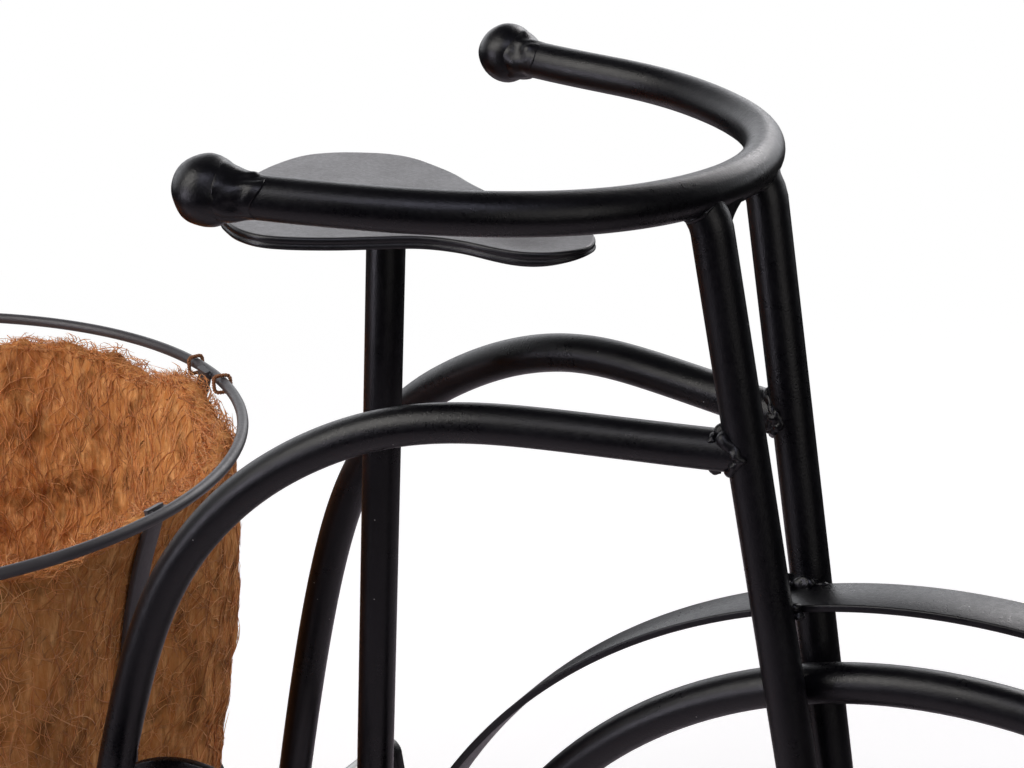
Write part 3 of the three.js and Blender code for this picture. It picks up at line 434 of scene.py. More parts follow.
def moved(shell, turn=0.0, axis=Y_AXIS, by=(0.0, 0.0, 0.0)):
    """A shell turned about an axis through the origin, right-handed, and then moved."""
    matrix = np.array(Matrix.Rotation(turn, 3, Vector(axis)))
    return shell[0] @ matrix.T + np.asarray(by), shell[1], shell[2]


def tube(path, radius, across, sides=32, closed=False):
    return skin(swept(path, circle(radius, sides), across, closed), closed)


def rod(start, end, radius, sides=24, edge=0.6):
    """Straight round bar whose ends have a quarter-round edge."""
    start, end = np.asarray(start, float), np.asarray(end, float)
    length = np.linalg.norm(end - start)
    into, out = quarter_round(edge)
    at = np.concatenate([into, np.linspace(edge, length - edge, 5)[1:-1], length - into[::-1]])
    radii = radius - np.concatenate([out, np.zeros(3), out[::-1]])
    direction = (end - start) / length
    across = Z_AXIS if abs(direction[2]) < 0.9 else Y_AXIS
    section = circle(1, sides) * radii[:, None, None]
    return skin(swept(start + at[:, None] * direction, section, across))


def turned(profile, steps=48):
    """Closed profile of (radius, y) points turned about the Y axis."""
    profile = np.asarray(profile, float)
    turn = full_turn(steps)
    radius, y = profile[:, :1], profile[:, 1:]
    rings = np.stack([radius * np.cos(turn), y + 0 * turn, radius * np.sin(turn)], axis=-1)
    return skin(rings, loop=True)


def sleeve(inner, outer, length, steps=48, edge=0.5):
    """Ring about the Y axis with rounded edges."""
    section = rounded_box(outer - inner, length, edge, 4)
    return turned(section + [(inner + outer) / 2, 0], steps)


def hoop(radius, stock, steps, sides, level=False):
    """Round stock bent to a ring about the Y axis, or about the Z axis if it is level."""
    path = about_z(radius, full_turn(steps), 0.0)
    return tube(path if level else upright(path), stock, Z_AXIS if level else Y_AXIS, sides, True)


def hexagon(across_flats, corner=0.5, count=48):
    """Hexagon with its corners eased: the distance to the nearest flat, capped by a circle just inside the corners."""
    turn = (np.arange(count) + 0.5) / count * TAU
    from_flat = (turn + math.pi / 6) % (math.pi / 3) - math.pi / 6
    radius = np.minimum(across_flats / 2 / np.cos(from_flat), across_flats / math.sqrt(3) - corner)
    return about_z(radius, turn, 0.0)[:, :2]


def inset(outline, by):
    """A closed outline moved inwards along its normals."""
    along = unit(np.roll(outline, -1, 0) - np.roll(outline, 1, 0))
    inward = np.stack([-along[:, 1], along[:, 0]], axis=1)
    area = (outline[:, 0] * np.roll(outline[:, 1], -1) - np.roll(outline[:, 0], -1) * outline[:, 1]).sum()
    return outline + inward * by * (1 if area > 0 else -1)


def plate(outline, thickness, edge=0.6):
    """Flat piece in the XZ plane with rounded edges: its outline scaled about its middle on both faces and inset along
    a half circle round the edge."""
    face = inset(outline, edge)
    levels = [(shrunk(face, outline.mean(0), share), thickness / 2) for share in (0.25, 0.5, 0.75)]
    levels += [(inset(outline, out), thickness / 2 - into) for into, out in zip(*quarter_round(edge))]
    levels += [(line, -y) for line, y in levels[::-1]]
    return skin(np.stack([upright(line, y) for line, y in levels]))


def block(start, end, width, height, edge, across=Z_AXIS):
    """Bar of rounded box section with eased ends."""
    start, end = np.asarray(start, float), np.asarray(end, float)
    length = np.linalg.norm(end - start)
    into, out = quarter_round(edge)
    at = np.concatenate([into, length - into[::-1]])
    cut = np.concatenate([out, out[::-1]])
    section = rounded_box(width, height, edge)[None]
    room = np.abs(section).max(1, keepdims=True)
    section = section * (1 - cut[:, None, None] / room)
    return skin(swept(start + at[:, None] * (end - start) / length, section, across))


def lump(centre, radii, seed, rough=0.16):
    """Small uneven ball: a sphere whose radius is 1 + noise, stretched along the axes."""
    polar = np.linspace(0, math.pi, 12)[1:-1, None]
    ball = about_z(np.sin(polar), full_turn(16)[None], np.cos(polar))
    ball *= (1 + rough * ripple(ball, 1.5, seed))[..., None]
    return skin(ball * np.asarray(radii) + np.asarray(centre))


def bead(curve, across, radius, seed, swell=1.0):
    """Weld bead along a closed curve: a round section whose radius swells in overlapping ripples."""
    gaps = np.linalg.norm(np.roll(curve, -1, 0) - curve, axis=1)
    along = np.cumsum(gaps)
    steps = max(5, round(gaps.sum() / 3.2))
    wave = 0.16 * np.abs(np.sin(along / gaps.sum() * steps * math.pi))
    rings = swept(curve, circle(radius, 16), across, closed=True)
    thick = (0.86 + wave[:, None] + 0.2 * ripple(rings, 4.5, seed)) * np.broadcast_to(swell, len(curve))[:, None]
    rings = curve[:, None] + (rings - curve[:, None]) * thick[..., None]
    return skin(rings, loop=True)


def joint_curve(start, along, radius, through_point, direction, other, count=96):
    """Where a tube from `start` along `along` meets another tube: round the first tube at angle f, the distance t
    along it solves |(w + t a) x b| = other, with w the offset from the second tube's axis b."""
    along, direction = unit(np.asarray(along, float)), unit(np.asarray(direction, float))
    side = unit(np.cross(along, direction))
    up = np.cross(side, along)
    turn = full_turn(count)
    edge = start + radius * (np.cos(turn)[:, None] * side + np.sin(turn)[:, None] * up)
    offset = edge - through_point
    flat_offset = offset - (offset @ direction)[:, None] * direction
    flat_along = along - (along @ direction) * direction
    half = flat_offset @ flat_along
    room = np.maximum(half**2 - flat_along @ flat_along * ((flat_offset**2).sum(-1) - other**2), 0)
    reach = (-half + np.sqrt(room)) / (flat_along @ flat_along)
    return edge + reach[:, None] * along, edge - start


def joint_bead(joint, share, seed, lean=(0.0, 0.0, 1.0), more=0.0):
    """Bead round the joint of two tubes, of a share of the usual size and with `more` on the side of `lean`."""
    curve, out = joint_curve(*joint)
    return bead(curve, out, bead_size() * share, seed, 1 + more * np.maximum(unit(out) @ unit(np.array(lean)), 0) ** 2)


# Paths of the tubes


def bar_path(count=240):
    back, side = np.array(BAR_SHARES, float).T
    controls = np.stack([BAR_FRONT[0] - back * BAR_REACH, side * BAR_HALF_WIDTH, BAR_FRONT[1] + back * BAR_RISE], 1)
    return even(spline(controls, 4 * count), count)


def fork_top(side):
    path = bar_path(960)
    at = nearest(path[:, 1], side * FORK_TOP_HALF_SPACING)
    return path[at], unit(path[at + 1] - path[at - 1])


def fork_path(side):
    """Straight from the handlebar to the bend, then a cubic curve to the axle that arrives at the end angle, then the
    straight tab beyond it. The first millimetres are drawn back into the bar. Also the share by which the tube is
    pressed flat at each point and the share of the flat part's width, which rounds off the tab's end."""
    top = fork_top(side)[0] + FORK_TOP_OFFSET
    bend_x = top[0] + (top[2] - FORK_BEND_Z) * math.tan(FORK_LEAN)
    bend = np.array([bend_x, side * FORK_BEND_HALF_SPACING, FORK_BEND_Z])
    axle = np.array([FRONT_AXLE[0], side * FORK_TAB_MIDDLE, FRONT_AXLE[2]])
    down = unit(bend - top)
    raked = np.array([math.sin(FORK_END_ANGLE), 0, -math.cos(FORK_END_ANGLE)])
    reach = np.linalg.norm(bend - axle) / 3
    curve = even(bezier(bend, bend + down * reach, axle - raked * reach, axle, 200), 60)
    straight = top + np.linspace(0, 1, 90)[:-1, None] * (bend - top)
    into = np.clip((top[2] - straight[:, 2]) / FORK_TOP_BLEND, 0, 1)
    straight[:, 0] -= FORK_TOP_OFFSET[0] * (1 - into**2 * (3 - 2 * into))
    tab = axle + np.linspace(0, 1, 16)[1:, None] * raked * FORK_TAB_BEYOND
    length = np.linalg.norm(np.diff(curve, axis=0), axis=1).sum()
    left = np.linspace(length, 0, len(curve))
    flat = np.clip((FORK_FLAT[2] + FORK_FLAT[3] - left) / FORK_FLAT[3], 0, 1)
    flat = flat**2 * (3 - 2 * flat)
    path = np.concatenate([straight, curve, tab])
    flat = np.concatenate([np.zeros(len(straight)), flat, np.ones(len(tab))])
    narrow = np.concatenate([np.ones(len(straight) + len(curve)), np.sqrt(1 - np.linspace(0, 0.99, 16)[1:] ** 2)])
    return path, flat, narrow


def frame_point(name, run, z):
    run = np.asarray(run, float)
    x = FRAME_START[0] - run * math.cos(FRAME_PLAN_ANGLE)
    y = SIDES[name] * (FRAME_START[1] + run * math.sin(FRAME_PLAN_ANGLE))
    return np.stack([x, y, z + 0 * run], axis=-1)


def frame_path(name, count=340):
    """Arch on a B-spline, a cubic sweep down ahead of the basket and a level line to the tail."""
    run, rise = np.array(ARCH_SHARES[name], float).T
    leg = fork_path(SIDES[name])[0]
    start = leg[nearest(leg[:, 2], FRAME_START[2])]
    controls = np.concatenate([[start], frame_point(name, run * ARCH_RUN, FRAME_START[2] + rise * ARCH_DROP)])
    foot, down = controls[-1], unit(controls[-1] - controls[-2])
    low_start = frame_point(name, ARCH_RUN + SWEEP_RUN, FRAME_LOW_Z)
    low_end = frame_point(name, (FRAME_START[0] - TAIL_X) / math.cos(FRAME_PLAN_ANGLE), FRAME_LOW_Z)
    back = unit(low_end - low_start)
    pull = down * (foot[2] - FRAME_LOW_Z) * 0.55
    sweep = bezier(foot, foot + pull, low_start - back * SWEEP_RUN * 0.5, low_start, 200)
    return even(np.concatenate([spline(controls, 400), sweep[1:], [low_end]]), count)


def frame_at_height(name, z):
    """The place where a frame tube comes down through a height."""
    path = frame_path(name, 1200)[150:]
    return path[nearest(path[:, 2], z)]


# Materials


class Tree:
    """Short way to build the nodes of a material or of the world. Every method gives back output sockets."""

    def __init__(self, owner):
        owner.use_nodes = True
        self.tree = owner.node_tree
        self.tree.nodes.clear()

    def put(self, socket, value):
        """Links a socket, or writes a value; a colour gets its fourth number."""
        if isinstance(value, bpy.types.NodeSocket):
            self.tree.links.new(value, socket)
        elif socket.type == "RGBA":
            socket.default_value = (*value, 1)
        else:
            socket.default_value = value

    def node(self, kind, values=None, **settings):
        node = self.tree.nodes.new("ShaderNode" + kind)
        for key, value in settings.items():
            setattr(node, key, value)
        for key, value in (values or {}).items():
            self.put(node.inputs[key], value)
        return node

    def add(self, kind, values=None, **settings):
        return self.node(kind, values, **settings).outputs

    def math(self, operation, *values):
        return self.add("Math", dict(enumerate(values)), operation=operation)[0]

    def remap(self, value, low, high, new_low=0.0, new_high=1.0, smooth=False):
        return self.add("MapRange", {0: value, 1: low, 2: high, 3: new_low, 4: new_high},
                        interpolation_type="SMOOTHSTEP" if smooth else "LINEAR")[0]

    def camera_sees(self, seen, other):
        """One shader for the camera and another for every other ray."""
        return self.add("MixShader", {0: self.add("LightPath")["Is Camera Ray"], 1: other, 2: seen})[0]


class Finish(Tree):
    """Nodes of a material with one principled shader, placed by object coordinates."""

    SOCKETS = {"color": "Base Color", "specular": "Specular IOR Level", "sheen": "Sheen Weight",
               "roughness": "Roughness", "metallic": "Metallic", "normal": "Normal"}

    def __init__(self, name):
        self.material = bpy.data.materials.new(name)
        super().__init__(self.material)
        self.surface = self.node("OutputMaterial").inputs["Surface"]
        self.shader = self.node("BsdfPrincipled")
        self.put(self.surface, self.shader.outputs[0])
        self.place = self.add("TexCoord")["Object"]

    def set(self, **values):
        for key, value in values.items():
            self.put(self.shader.inputs[self.SOCKETS[key]], value)
        return self.material

    def noise(self, scale, detail=2.0, rough=0.5, stretch=(1, 1, 1)):
        place = self.place
        if stretch != (1, 1, 1):
            place = self.add("Mapping", {"Vector": place, "Scale": stretch})[0]
        return self.add("TexNoise", {"Vector": place, "Scale": scale, "Detail": detail, "Roughness": rough})[0]

    def ramp(self, factor, *stops):
        """Colours, or grey levels, spread over places from 0 to 1."""
        node = self.node("ValToRGB", {"Fac": factor})
        elements = node.color_ramp.elements
        while len(elements) < len(stops):
            elements.new(0.5)
        for element, (at, color) in zip(elements, stops):
            element.position = at
            element.color = (*np.broadcast_to(color, 3), 1)
        return node.outputs[0]

    def blend(self, factor, a, b):
        return self.add("Mix", {0: factor, 6: a, 7: b}, data_type="RGBA")[2]

    def bumps(self, *layers):
        """Bump maps one over the other, each given as height, strength and distance."""
        normal = None
        for height, strength, distance in layers:
            values = {"Height": height, "Strength": strength, "Distance": distance}
            normal = self.add("Bump", values if normal is None else {**values, "Normal": normal})[0]
        return normal


def scaled(color, share):
    return tuple(c * share for c in color)


def paint(name, color, roughness, peel, specks=1.0, lift=0.35, painted_sheen=None):
    """Powder coat: fine orange peel over broad waviness, roughness that drifts a little, and dusty specks in some of
    the cells of a fine cell pattern. With `painted_sheen`, faces that look up carry that paler colour: a painted
    sheen in place of the bright backdrop's reflection."""
    tree = Finish(name)
    normal = tree.bumps((tree.noise(170), 0.25, 0.00025), (tree.noise(1500, 3, 0.6), peel, 0.00018),
                        (tree.noise(5200, 2, 0.6), 0.35, 0.00005))
    drift = tree.noise(34, 3, 0.6)
    cells = tree.add("TexVoronoi", {"Vector": tree.place, "Scale": 190.0})
    near = tree.remap(cells["Distance"], 0.028, 0.045, 1.0, 0.0)
    chosen = tree.ramp(cells["Color"], (0.66, 0.0), (0.7, 1.0))
    speck = tree.math("MULTIPLY", tree.math("MULTIPLY", near, chosen), specks)
    shade = tree.blend(tree.remap(drift, 0.35, 0.7, 0.0, 0.5), color, tuple(c * 1.8 + 0.0005 for c in color))
    # Painted sheen: faces that look up are blended to a paler colour, standing in for the bright backdrop's reflection
    # on level faces.
    if painted_sheen is not None:
        up = tree.add("SeparateXYZ", {0: tree.add("NewGeometry")["Normal"]})["Z"]
        shade = tree.blend(tree.remap(up, 0.9, 0.985), shade, painted_sheen)
    broad = tree.remap(drift, 0.3, 0.7, roughness - 0.06, roughness + 0.04)
    fine = tree.remap(tree.noise(700), 0.35, 0.65, -0.04, 0.04)
    return tree.set(color=tree.blend(speck, shade, (0.34, 0.33, 0.33)), specular=lift, normal=normal,
                    roughness=tree.math("ADD", broad, fine))


def zinc(name):
    """Zinc plate: bright grey metal with a fine brushed grain and cloudy roughness."""
    tree = Finish(name)
    grain = tree.noise(900, 3, 0.6, (1, 0.06, 1))
    clouds = tree.noise(120, 4, 0.6)
    return tree.set(color=tree.blend(clouds, (0.42, 0.42, 0.41), (0.62, 0.62, 0.6)), metallic=1.0,
                    roughness=tree.remap(clouds, 0.3, 0.7, 0.28, 0.48), normal=tree.bumps((grain, 0.25, 0.0001)))


def coir_mat(name, dark, light):
    """Matted coir: streaks that run up the wall, painted shade in pits between the clumps, and a rough surface."""
    tree = Finish(name)
    streaks = tree.noise(420, 5, 0.65, (1, 1, 0.22))
    fuzz = tree.noise(1900, 4, 0.7, (1, 1, 0.4))
    middle = tuple((d + l) / 2 * s for d, l, s in zip(dark, light, (0.85, 0.8, 0.72)))
    color = tree.ramp(streaks, (0.32, dark), (0.52, middle), (0.72, light))
    # Painted shade: noise patches darken the colour towards a third of the dark tone, standing in for shadow in the
    # pits between clumps.
    pit_shade = tree.remap(tree.noise(70, 4, 0.6), 0.33, 0.5, 0.75, 0.0)
    return tree.set(color=tree.blend(pit_shade, color, scaled(dark, 0.3)), roughness=0.92, specular=0.12,
                    normal=tree.bumps((streaks, 0.9, 0.0012), (fuzz, 0.8, 0.0004)))


def coir_fibre(name, dark, light):
    """Single fibres: each has its own tone from the `tone` attribute, with a slight drift along it."""
    tree = Finish(name)
    tone = tree.add("Attribute", attribute_name="tone")["Fac"]
    middle = tuple((d * 0.62 + l * 0.38) * s for d, l, s in zip(dark, light, (1.12, 1.0, 0.86)))
    color = tree.ramp(tone, (0.0, scaled(dark, 0.75)), (0.45, middle), (1.0, light))
    drift = tree.remap(tree.noise(260), 0.35, 0.65, 0.0, 0.35)
    return tree.set(color=tree.blend(drift, color, scaled(dark, 0.6)), roughness=0.72, specular=0.25, sheen=0.15)


def twine(name):
    """Twisted twine: brown strands with fine fibres along them."""
    tree = Finish(name)
    fibres = tree.noise(2400, 4, 0.65)
    return tree.set(color=tree.ramp(fibres, (0.35, (0.16, 0.06, 0.025)), (0.7, (0.5, 0.24, 0.12))), roughness=0.85,
                    specular=0.15, normal=tree.bumps((fibres, 0.6, 0.0002)))


MATERIALS = {}


def material(name):
    """A finish by name, made the first time that it is asked for."""
    looks = bpy.context.scene.planter_looks
    black, coir = tuple(looks.paint), (tuple(looks.coir_dark), tuple(looks.coir_light))
    makers = {
        "black_paint": (paint, "frame powder coat", black, 0.34, looks.peel),
        # The saddle's upper faces take the painted sheen colour from looks.saddle.
        "saddle_paint": (paint, "saddle powder coat", black, 0.38, looks.peel, 0.4, 0.5, tuple(looks.saddle)),
        "basket_paint": (paint, "basket powder coat", tuple(looks.basket), 0.42, looks.peel * 0.6, 0.3, 0.5),
        "zinc": (zinc, "zinc plate"),
        "coir": (coir_mat, "matted coir", *coir),
        "fibre": (coir_fibre, "coir fibres", *coir),
        "twine": (twine, "twine"),
    }
    if name not in MATERIALS:
        maker, *values = makers[name]
        MATERIALS[name] = maker(*values)
    return MATERIALS[name]


# Making objects

SHIFT = (np.array(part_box("front_wheel_rim")).mean(0)[0]) / MM - FRONT_AXLE[0]


def linked(name, data):
    """A new object in the scene."""
    obj = bpy.data.objects.new(name, data)
    bpy.context.scene.collection.objects.link(obj)
    return obj


def add_piece(name, shell, *nodes, body="frame", slot="black_paint", finish=None, sharp=None, tone=None):
    """Mesh object of a shell in metres of the shared frame. It rides on a body, takes a slot's finish and stands for
    CAD nodes. Edges sharper than `sharp` degrees stay sharp, and `tone` is a number for each point."""
    points, quads, triangles = shell
    points = (points + [SHIFT, 0, 0]) * MM
    mesh = bpy.data.meshes.new(name)
    mesh.vertices.add(len(points))
    mesh.vertices.foreach_set("co", points.astype(np.float32).ravel())
    corners = np.concatenate([quads.ravel(), triangles.ravel()]).astype(np.int32)
    starts = np.concatenate([np.arange(len(quads)) * 4, len(quads) * 4 + np.arange(len(triangles)) * 3])
    mesh.loops.add(len(corners))
    mesh.loops.foreach_set("vertex_index", corners)
    mesh.polygons.add(len(starts))
    mesh.polygons.foreach_set("loop_start", starts.astype(np.int32))
    mesh.update(calc_edges=True)
    if mesh.validate():
        raise RuntimeError(f"{name} has faces that Blender had to mend")
    if tone is not None:
        mesh.attributes.new("tone", "FLOAT", "POINT").data.foreach_set("value", tone.astype(np.float32))
    mesh.shade_smooth()
    if sharp is not None:
        mesh.set_sharp_from_angle(angle=math.radians(sharp))
    mesh.materials.append(material(finish or slot))
    obj = linked(name, mesh)
    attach(obj, body)
    if nodes:
        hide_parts(*nodes)
    return obj


def tube_radius():
    return bpy.context.scene.planter_sizes.tube_diameter / MM / 2


def bead_size():
    return bpy.context.scene.planter_sizes.bead_radius / MM


# The pieces


class PLANTER_OT_handlebar(bpy.types.Operator):
    """Bends the level hoop of the handlebar and closes its ends with balls."""

    bl_idname = "planter.handlebar"
    bl_label = "Handlebar and balls"

    def execute(self, context):
        radius, path = tube_radius(), bar_path()
        add_piece("handlebar_tube", tube(path, radius, Z_AXIS), "handlebar")
        polar = np.linspace(0, math.pi, 50)[1:-1]
        section = circle(1, 48) * (np.sin(polar) * BALL_RADIUS)[:, None, None]
        for side, end, before in (("right", path[0], path[3]), ("left", path[-1], path[-4])):
            along = unit(before - end)
            rings = end + swept(-np.cos(polar)[:, None] * along * BALL_RADIUS, section, Z_AXIS)
            rings += unit(rings - end) * (0.12 * ripple(rings, 9, 3 + SIDES[side]))[..., None]
            add_piece(f"grip_ball_{side}_sphere", skin(rings), f"grip_ball_{side}")
            add_piece(f"grip_ball_{side}_weld", self.neck(end, along, radius, SIDES[side]))
        return {"FINISHED"}

    def neck(self, end, along, radius, seed):
        """Weld between ball and tube: a cone that narrows from the ball to the tube as (1 - t)^1.3, longer above than
        below, with two ripples round it and an uneven surface."""
        share = np.linspace(0, 1, 44)[:, None]
        turn = full_turn(72)[None]
        reach = NECK[0] + share * (NECK[1] - NECK[0]) * (1 + 0.16 * np.sin(turn) + 0.07 * np.sin(3 * turn + seed))
        wide = radius - 0.25 + NECK_RISE * (1 - share) ** 1.3
        out = np.cos(turn)[..., None] * unit(np.cross(along, Z_AXIS)) + np.sin(turn)[..., None] * Z_AXIS
        flat = end + reach[..., None] * along + wide[..., None] * out
        rough = 0.22 * ripple(flat, 5, 20 + seed) + 0.3 * ripple(flat, 11, 22 + seed)
        rough = (rough + 0.16 * np.sin(share * 9 + np.sin(turn))) * np.minimum(1, 4 * (1 - share))
        return skin(flat + rough[..., None] * out)


class PLANTER_OT_fork(bpy.types.Operator):
    """Lofts the two fork legs, round above and pressed flat at the axle, with the welds at their tops and the bolt."""

    bl_idname = "planter.fork"
    bl_label = "Fork legs and axle bolt"

    def execute(self, context):
        radius = tube_radius()
        turn = full_turn(32)
        for name, side in SIDES.items():
            path, flat, narrow = fork_path(side)
            half_width = radius + (FORK_FLAT[1] / 2 * narrow - radius) * flat
            half_thick = radius + (FORK_FLAT[0] / 2 - radius) * flat
            out = np.clip(radius * np.sin(turn)[None], -half_thick[:, None], half_thick[:, None])
            section = np.stack([out, half_width[:, None] * np.cos(turn)], axis=-1)
            add_piece(f"fork_leg_{name}_tube", skin(swept(path, section, Y_AXIS)), f"fork_leg_{name}", sharp=50)
            add_piece(f"fork_leg_{name}_weld", self.weld(path, side, radius))
        self.axle_bolt()
        return {"FINISHED"}

    def weld(self, path, side, radius):
        """Bead that thickens downwards, and on the right leg a web that runs inwards to the bar."""
        top, along_bar = fork_top(side)
        down = unit(path[40] - path[20])
        curve, out = joint_curve(path[0], down, radius, top, along_bar, radius)
        swell = np.clip((top[2] - curve[:, 2]) / radius * 1.3 - 0.25, 0.12, 1)
        weld = bead(curve, out, bead_size() * 0.6, 31 + side, swell)
        if side > 0:
            return weld
        inward = along_bar * np.sign(-side * along_bar[1])
        web = bezier(*(top + inward * across + down * below for across, below in FORK_WEB), 24)
        return merged(weld, tube(web, FORK_WEB_RADIUS, Y_AXIS, 20))

    def axle_bolt(self):
        """Hexagon head and nut with rounded edges, a shank and two washers."""
        head, nut = (plate(hexagon(BOLT_HEX), height, 0.7) for height in BOLT_HEIGHTS)
        head = moved(head, by=(0, -FORK_FACE_Y - BOLT_HEIGHTS[0] / 2, 0))
        shank = rod((0, -FORK_FACE_Y - 4, 0), (0, FORK_FACE_Y + 8, 0), BOLT_RADIUS, 24, 0.7)
        nut = moved(nut, by=(0, FORK_FACE_Y + BOLT_HEIGHTS[1] / 2, 0))
        washers = [moved(sleeve(FRONT_HUB[0], 8, 1.5, 32, 0.3), by=(0, side * WASHER_Y, 0)) for side in (-1, 1)]
        for name, shell, *nodes in (
                ("front_axle_bolt_steel", merged(head, shank), "front_axle_bolt"),
                ("front_axle_nut_steel", nut, "front_axle_nut"),
                ("front_washers_steel", merged(*washers), "front_washer_right", "front_washer_left")):
            add_piece(name, moved(shell, by=FRONT_AXLE), *nodes, slot="zinc", sharp=40)


class PLANTER_OT_mudguard(bpy.types.Operator):
    """Bends the flat band of the mudguard round the front wheel and tacks it to the fork legs."""

    bl_idname = "planter.mudguard"
    bl_label = "Front mudguard"

    def execute(self, context):
        path = upright(about_z(GUARD_RADIUS, np.linspace(*GUARD_ANGLES, 200), 0.0)[:, :2] + GUARD_CENTRE)
        band = swept(path, rounded_box(*GUARD_BAND, 0.55, 4), Y_AXIS)
        add_piece("front_mudguard_band", skin(band), "front_mudguard", sharp=50)
        lumps = []
        for side in SIDES.values():
            leg = fork_path(side)[0]
            away = np.hypot(leg[:, 0] - GUARD_CENTRE[0], leg[:, 2] - GUARD_CENTRE[1])
            inner = leg[nearest(away, GUARD_RADIUS)] - [0, side * tube_radius(), 0]
            for k, (x, y, z, size) in enumerate(GUARD_TACKS):
                lumps.append(lump(inner + [x, side * y, z], size * np.array([1.2, 0.9, 0.8]), 40 + k + side * 7, 0.22))
        add_piece("front_mudguard_welds", merged(*lumps))
        return {"FINISHED"}


class PLANTER_OT_frame_tubes(bpy.types.Operator):
    """Sweeps the two frame tubes from the fork over the arch and down under the basket, with lumpy front joints."""

    bl_idname = "planter.frame_tubes"
    bl_label = "Frame tubes"

    def execute(self, context):
        radius = tube_radius()
        for name, side in SIDES.items():
            path = frame_path(name)
            flat_normal = np.array([math.sin(FRAME_PLAN_ANGLE), side * math.cos(FRAME_PLAN_ANGLE), 0])
            add_piece(f"frame_tube_{name}_tube", tube(path, radius, flat_normal), f"frame_tube_{name}")
            add_piece(f"frame_tube_{name}_welds", self.welds(path, side, radius))
        return {"FINISHED"}

    def welds(self, path, side, radius):
        """Bead round the joint with the leg, with random drops of weld on it; the right tube has two more behind."""
        leg = fork_path(side)[0]
        at = leg[nearest(leg[:, 2], path[0, 2])]
        along = unit(path[4] - path[0])
        joint = (path[0], along, radius, at, unit(leg[60] - leg[10]), radius)
        lumps = [joint_bead(joint, 0.75, 51 + side, (0.2, side * 0.4, 1.0), 0.7)]
        curve, out = joint_curve(*joint)
        rng = np.random.default_rng(60 + side)
        drops, largest = (8, 1.9) if side < 0 else (14, 2.4)
        for k in range(drops):
            spot = rng.integers(len(curve))
            place = curve[spot] + along * rng.uniform(-0.5, 3.2) + unit(out)[spot] * rng.uniform(-1.2, 0.2)
            size = rng.uniform(1.0, largest)
            lumps.append(lump(place, size * rng.uniform(0.7, 1.25, 3), 70 + k, 0.25))
        if side < 0:
            below = path[0] + along * 9.5 - [0, 0, radius + 0.3]
            above = path[0] + along * 8.8 + [0, side * radius * 0.5, radius * 0.75]
            lumps += [lump(below, (1.9, 0.9, 1.5), 91, 0.2), lump(above, (1.4, 2.2, 1.0), 92, 0.3)]
        return merged(*lumps)


class PLANTER_OT_saddle(bpy.types.Operator):
    """Forms the sheet saddle with its turned-down, hemmed edge, and stands it on its post."""

    bl_idname = "planter.saddle"
    bl_label = "Saddle and post"

    def outline(self, count=260):
        back, side = np.array(SADDLE_SHARES).T
        corners = np.stack([SADDLE_NOSE_X - back * SADDLE_LENGTH, side * SADDLE_HALF_WIDTH], axis=1)
        return even_outline(through(corners, 4 * count, closed=True), count)

    def relief(self, x, y):
        """Height of the sheet over its plane: broad unevenness, a shallow dent near the nose and a crease at the far
        edge, all under a millimetre."""
        flat = np.stack([x, y, 0 * x], axis=-1)
        dent = -0.8 * np.exp(-(((x + 55) / 9) ** 2 + ((y + 17) / 7) ** 2))
        crease = -0.9 * np.exp(-(((x + 74 + 0.5 * (y - 24)) / 5) ** 2 + ((y - 29) / 13) ** 2))
        return 0.35 * ripple(flat, 60, 5) + dent + crease

    def depth(self, x):
        """Share of the skirt's full depth: a quarter ellipse down to 0.25 at the nose's tip, and a little more than 1
        just behind it."""
        forward = (x - SADDLE_NOSE_X) / SADDLE_TUCK
        return 0.25 + 0.75 * np.sqrt(1 - np.clip(forward + 1, 0, 1) ** 2) + 0.14 * np.exp(-((forward + 1.2) ** 2))

    def execute(self, context):
        line = self.outline()
        centre = np.array([SADDLE_NOSE_X - 0.62 * SADDLE_LENGTH, 0.0])
        top, under, skirt = inset(line, SADDLE_EDGE), inset(line, SADDLE_HEM[-1][0] + 0.5), self.depth(line[:, 0])
        levels = [(shrunk(top, centre, share), 0.0) for share in np.linspace(0.03, 0.985, 34)]
        levels += [(inset(line, out), -into) for into, out in zip(*quarter_round(SADDLE_EDGE, 6))]
        levels += [(inset(line, by), -SADDLE_EDGE + (z + SADDLE_EDGE) * skirt) for by, z in SADDLE_HEM]
        levels += [(shrunk(under, centre, share), -2.0) for share in np.linspace(0.99, 0.03, 24)]
        rings = np.stack([np.stack([*flat.T, SADDLE_TOP_Z + z + self.relief(*flat.T)], axis=1) for flat, z in levels])
        rings[..., 2] = np.minimum(rings[..., 2], SADDLE_TOP_Z + SADDLE_RELIEF)
        add_piece("saddle_sheet", skin(rings), "saddle", slot="saddle_paint", sharp=60)
        radius = tube_radius()
        add_piece("seat_post_tube", rod(POST_TOP, POST_FOOT, radius, 32, 0.2), "seat_post")
        out = about_z(1.0, full_turn(64), 0.0)
        weld = bead(POST_TOP + [0, 0, -0.3] + out * (radius + 0.3), out, bead_size() * SMALL_BEAD, 101)
        foot = (POST_FOOT, unit(POST_TOP - POST_FOOT), radius, CRANK, X_AXIS, radius)
        add_piece("seat_post_welds", merged(weld, joint_bead(foot, SMALL_BEAD, 102)))
        return {"FINISHED"}


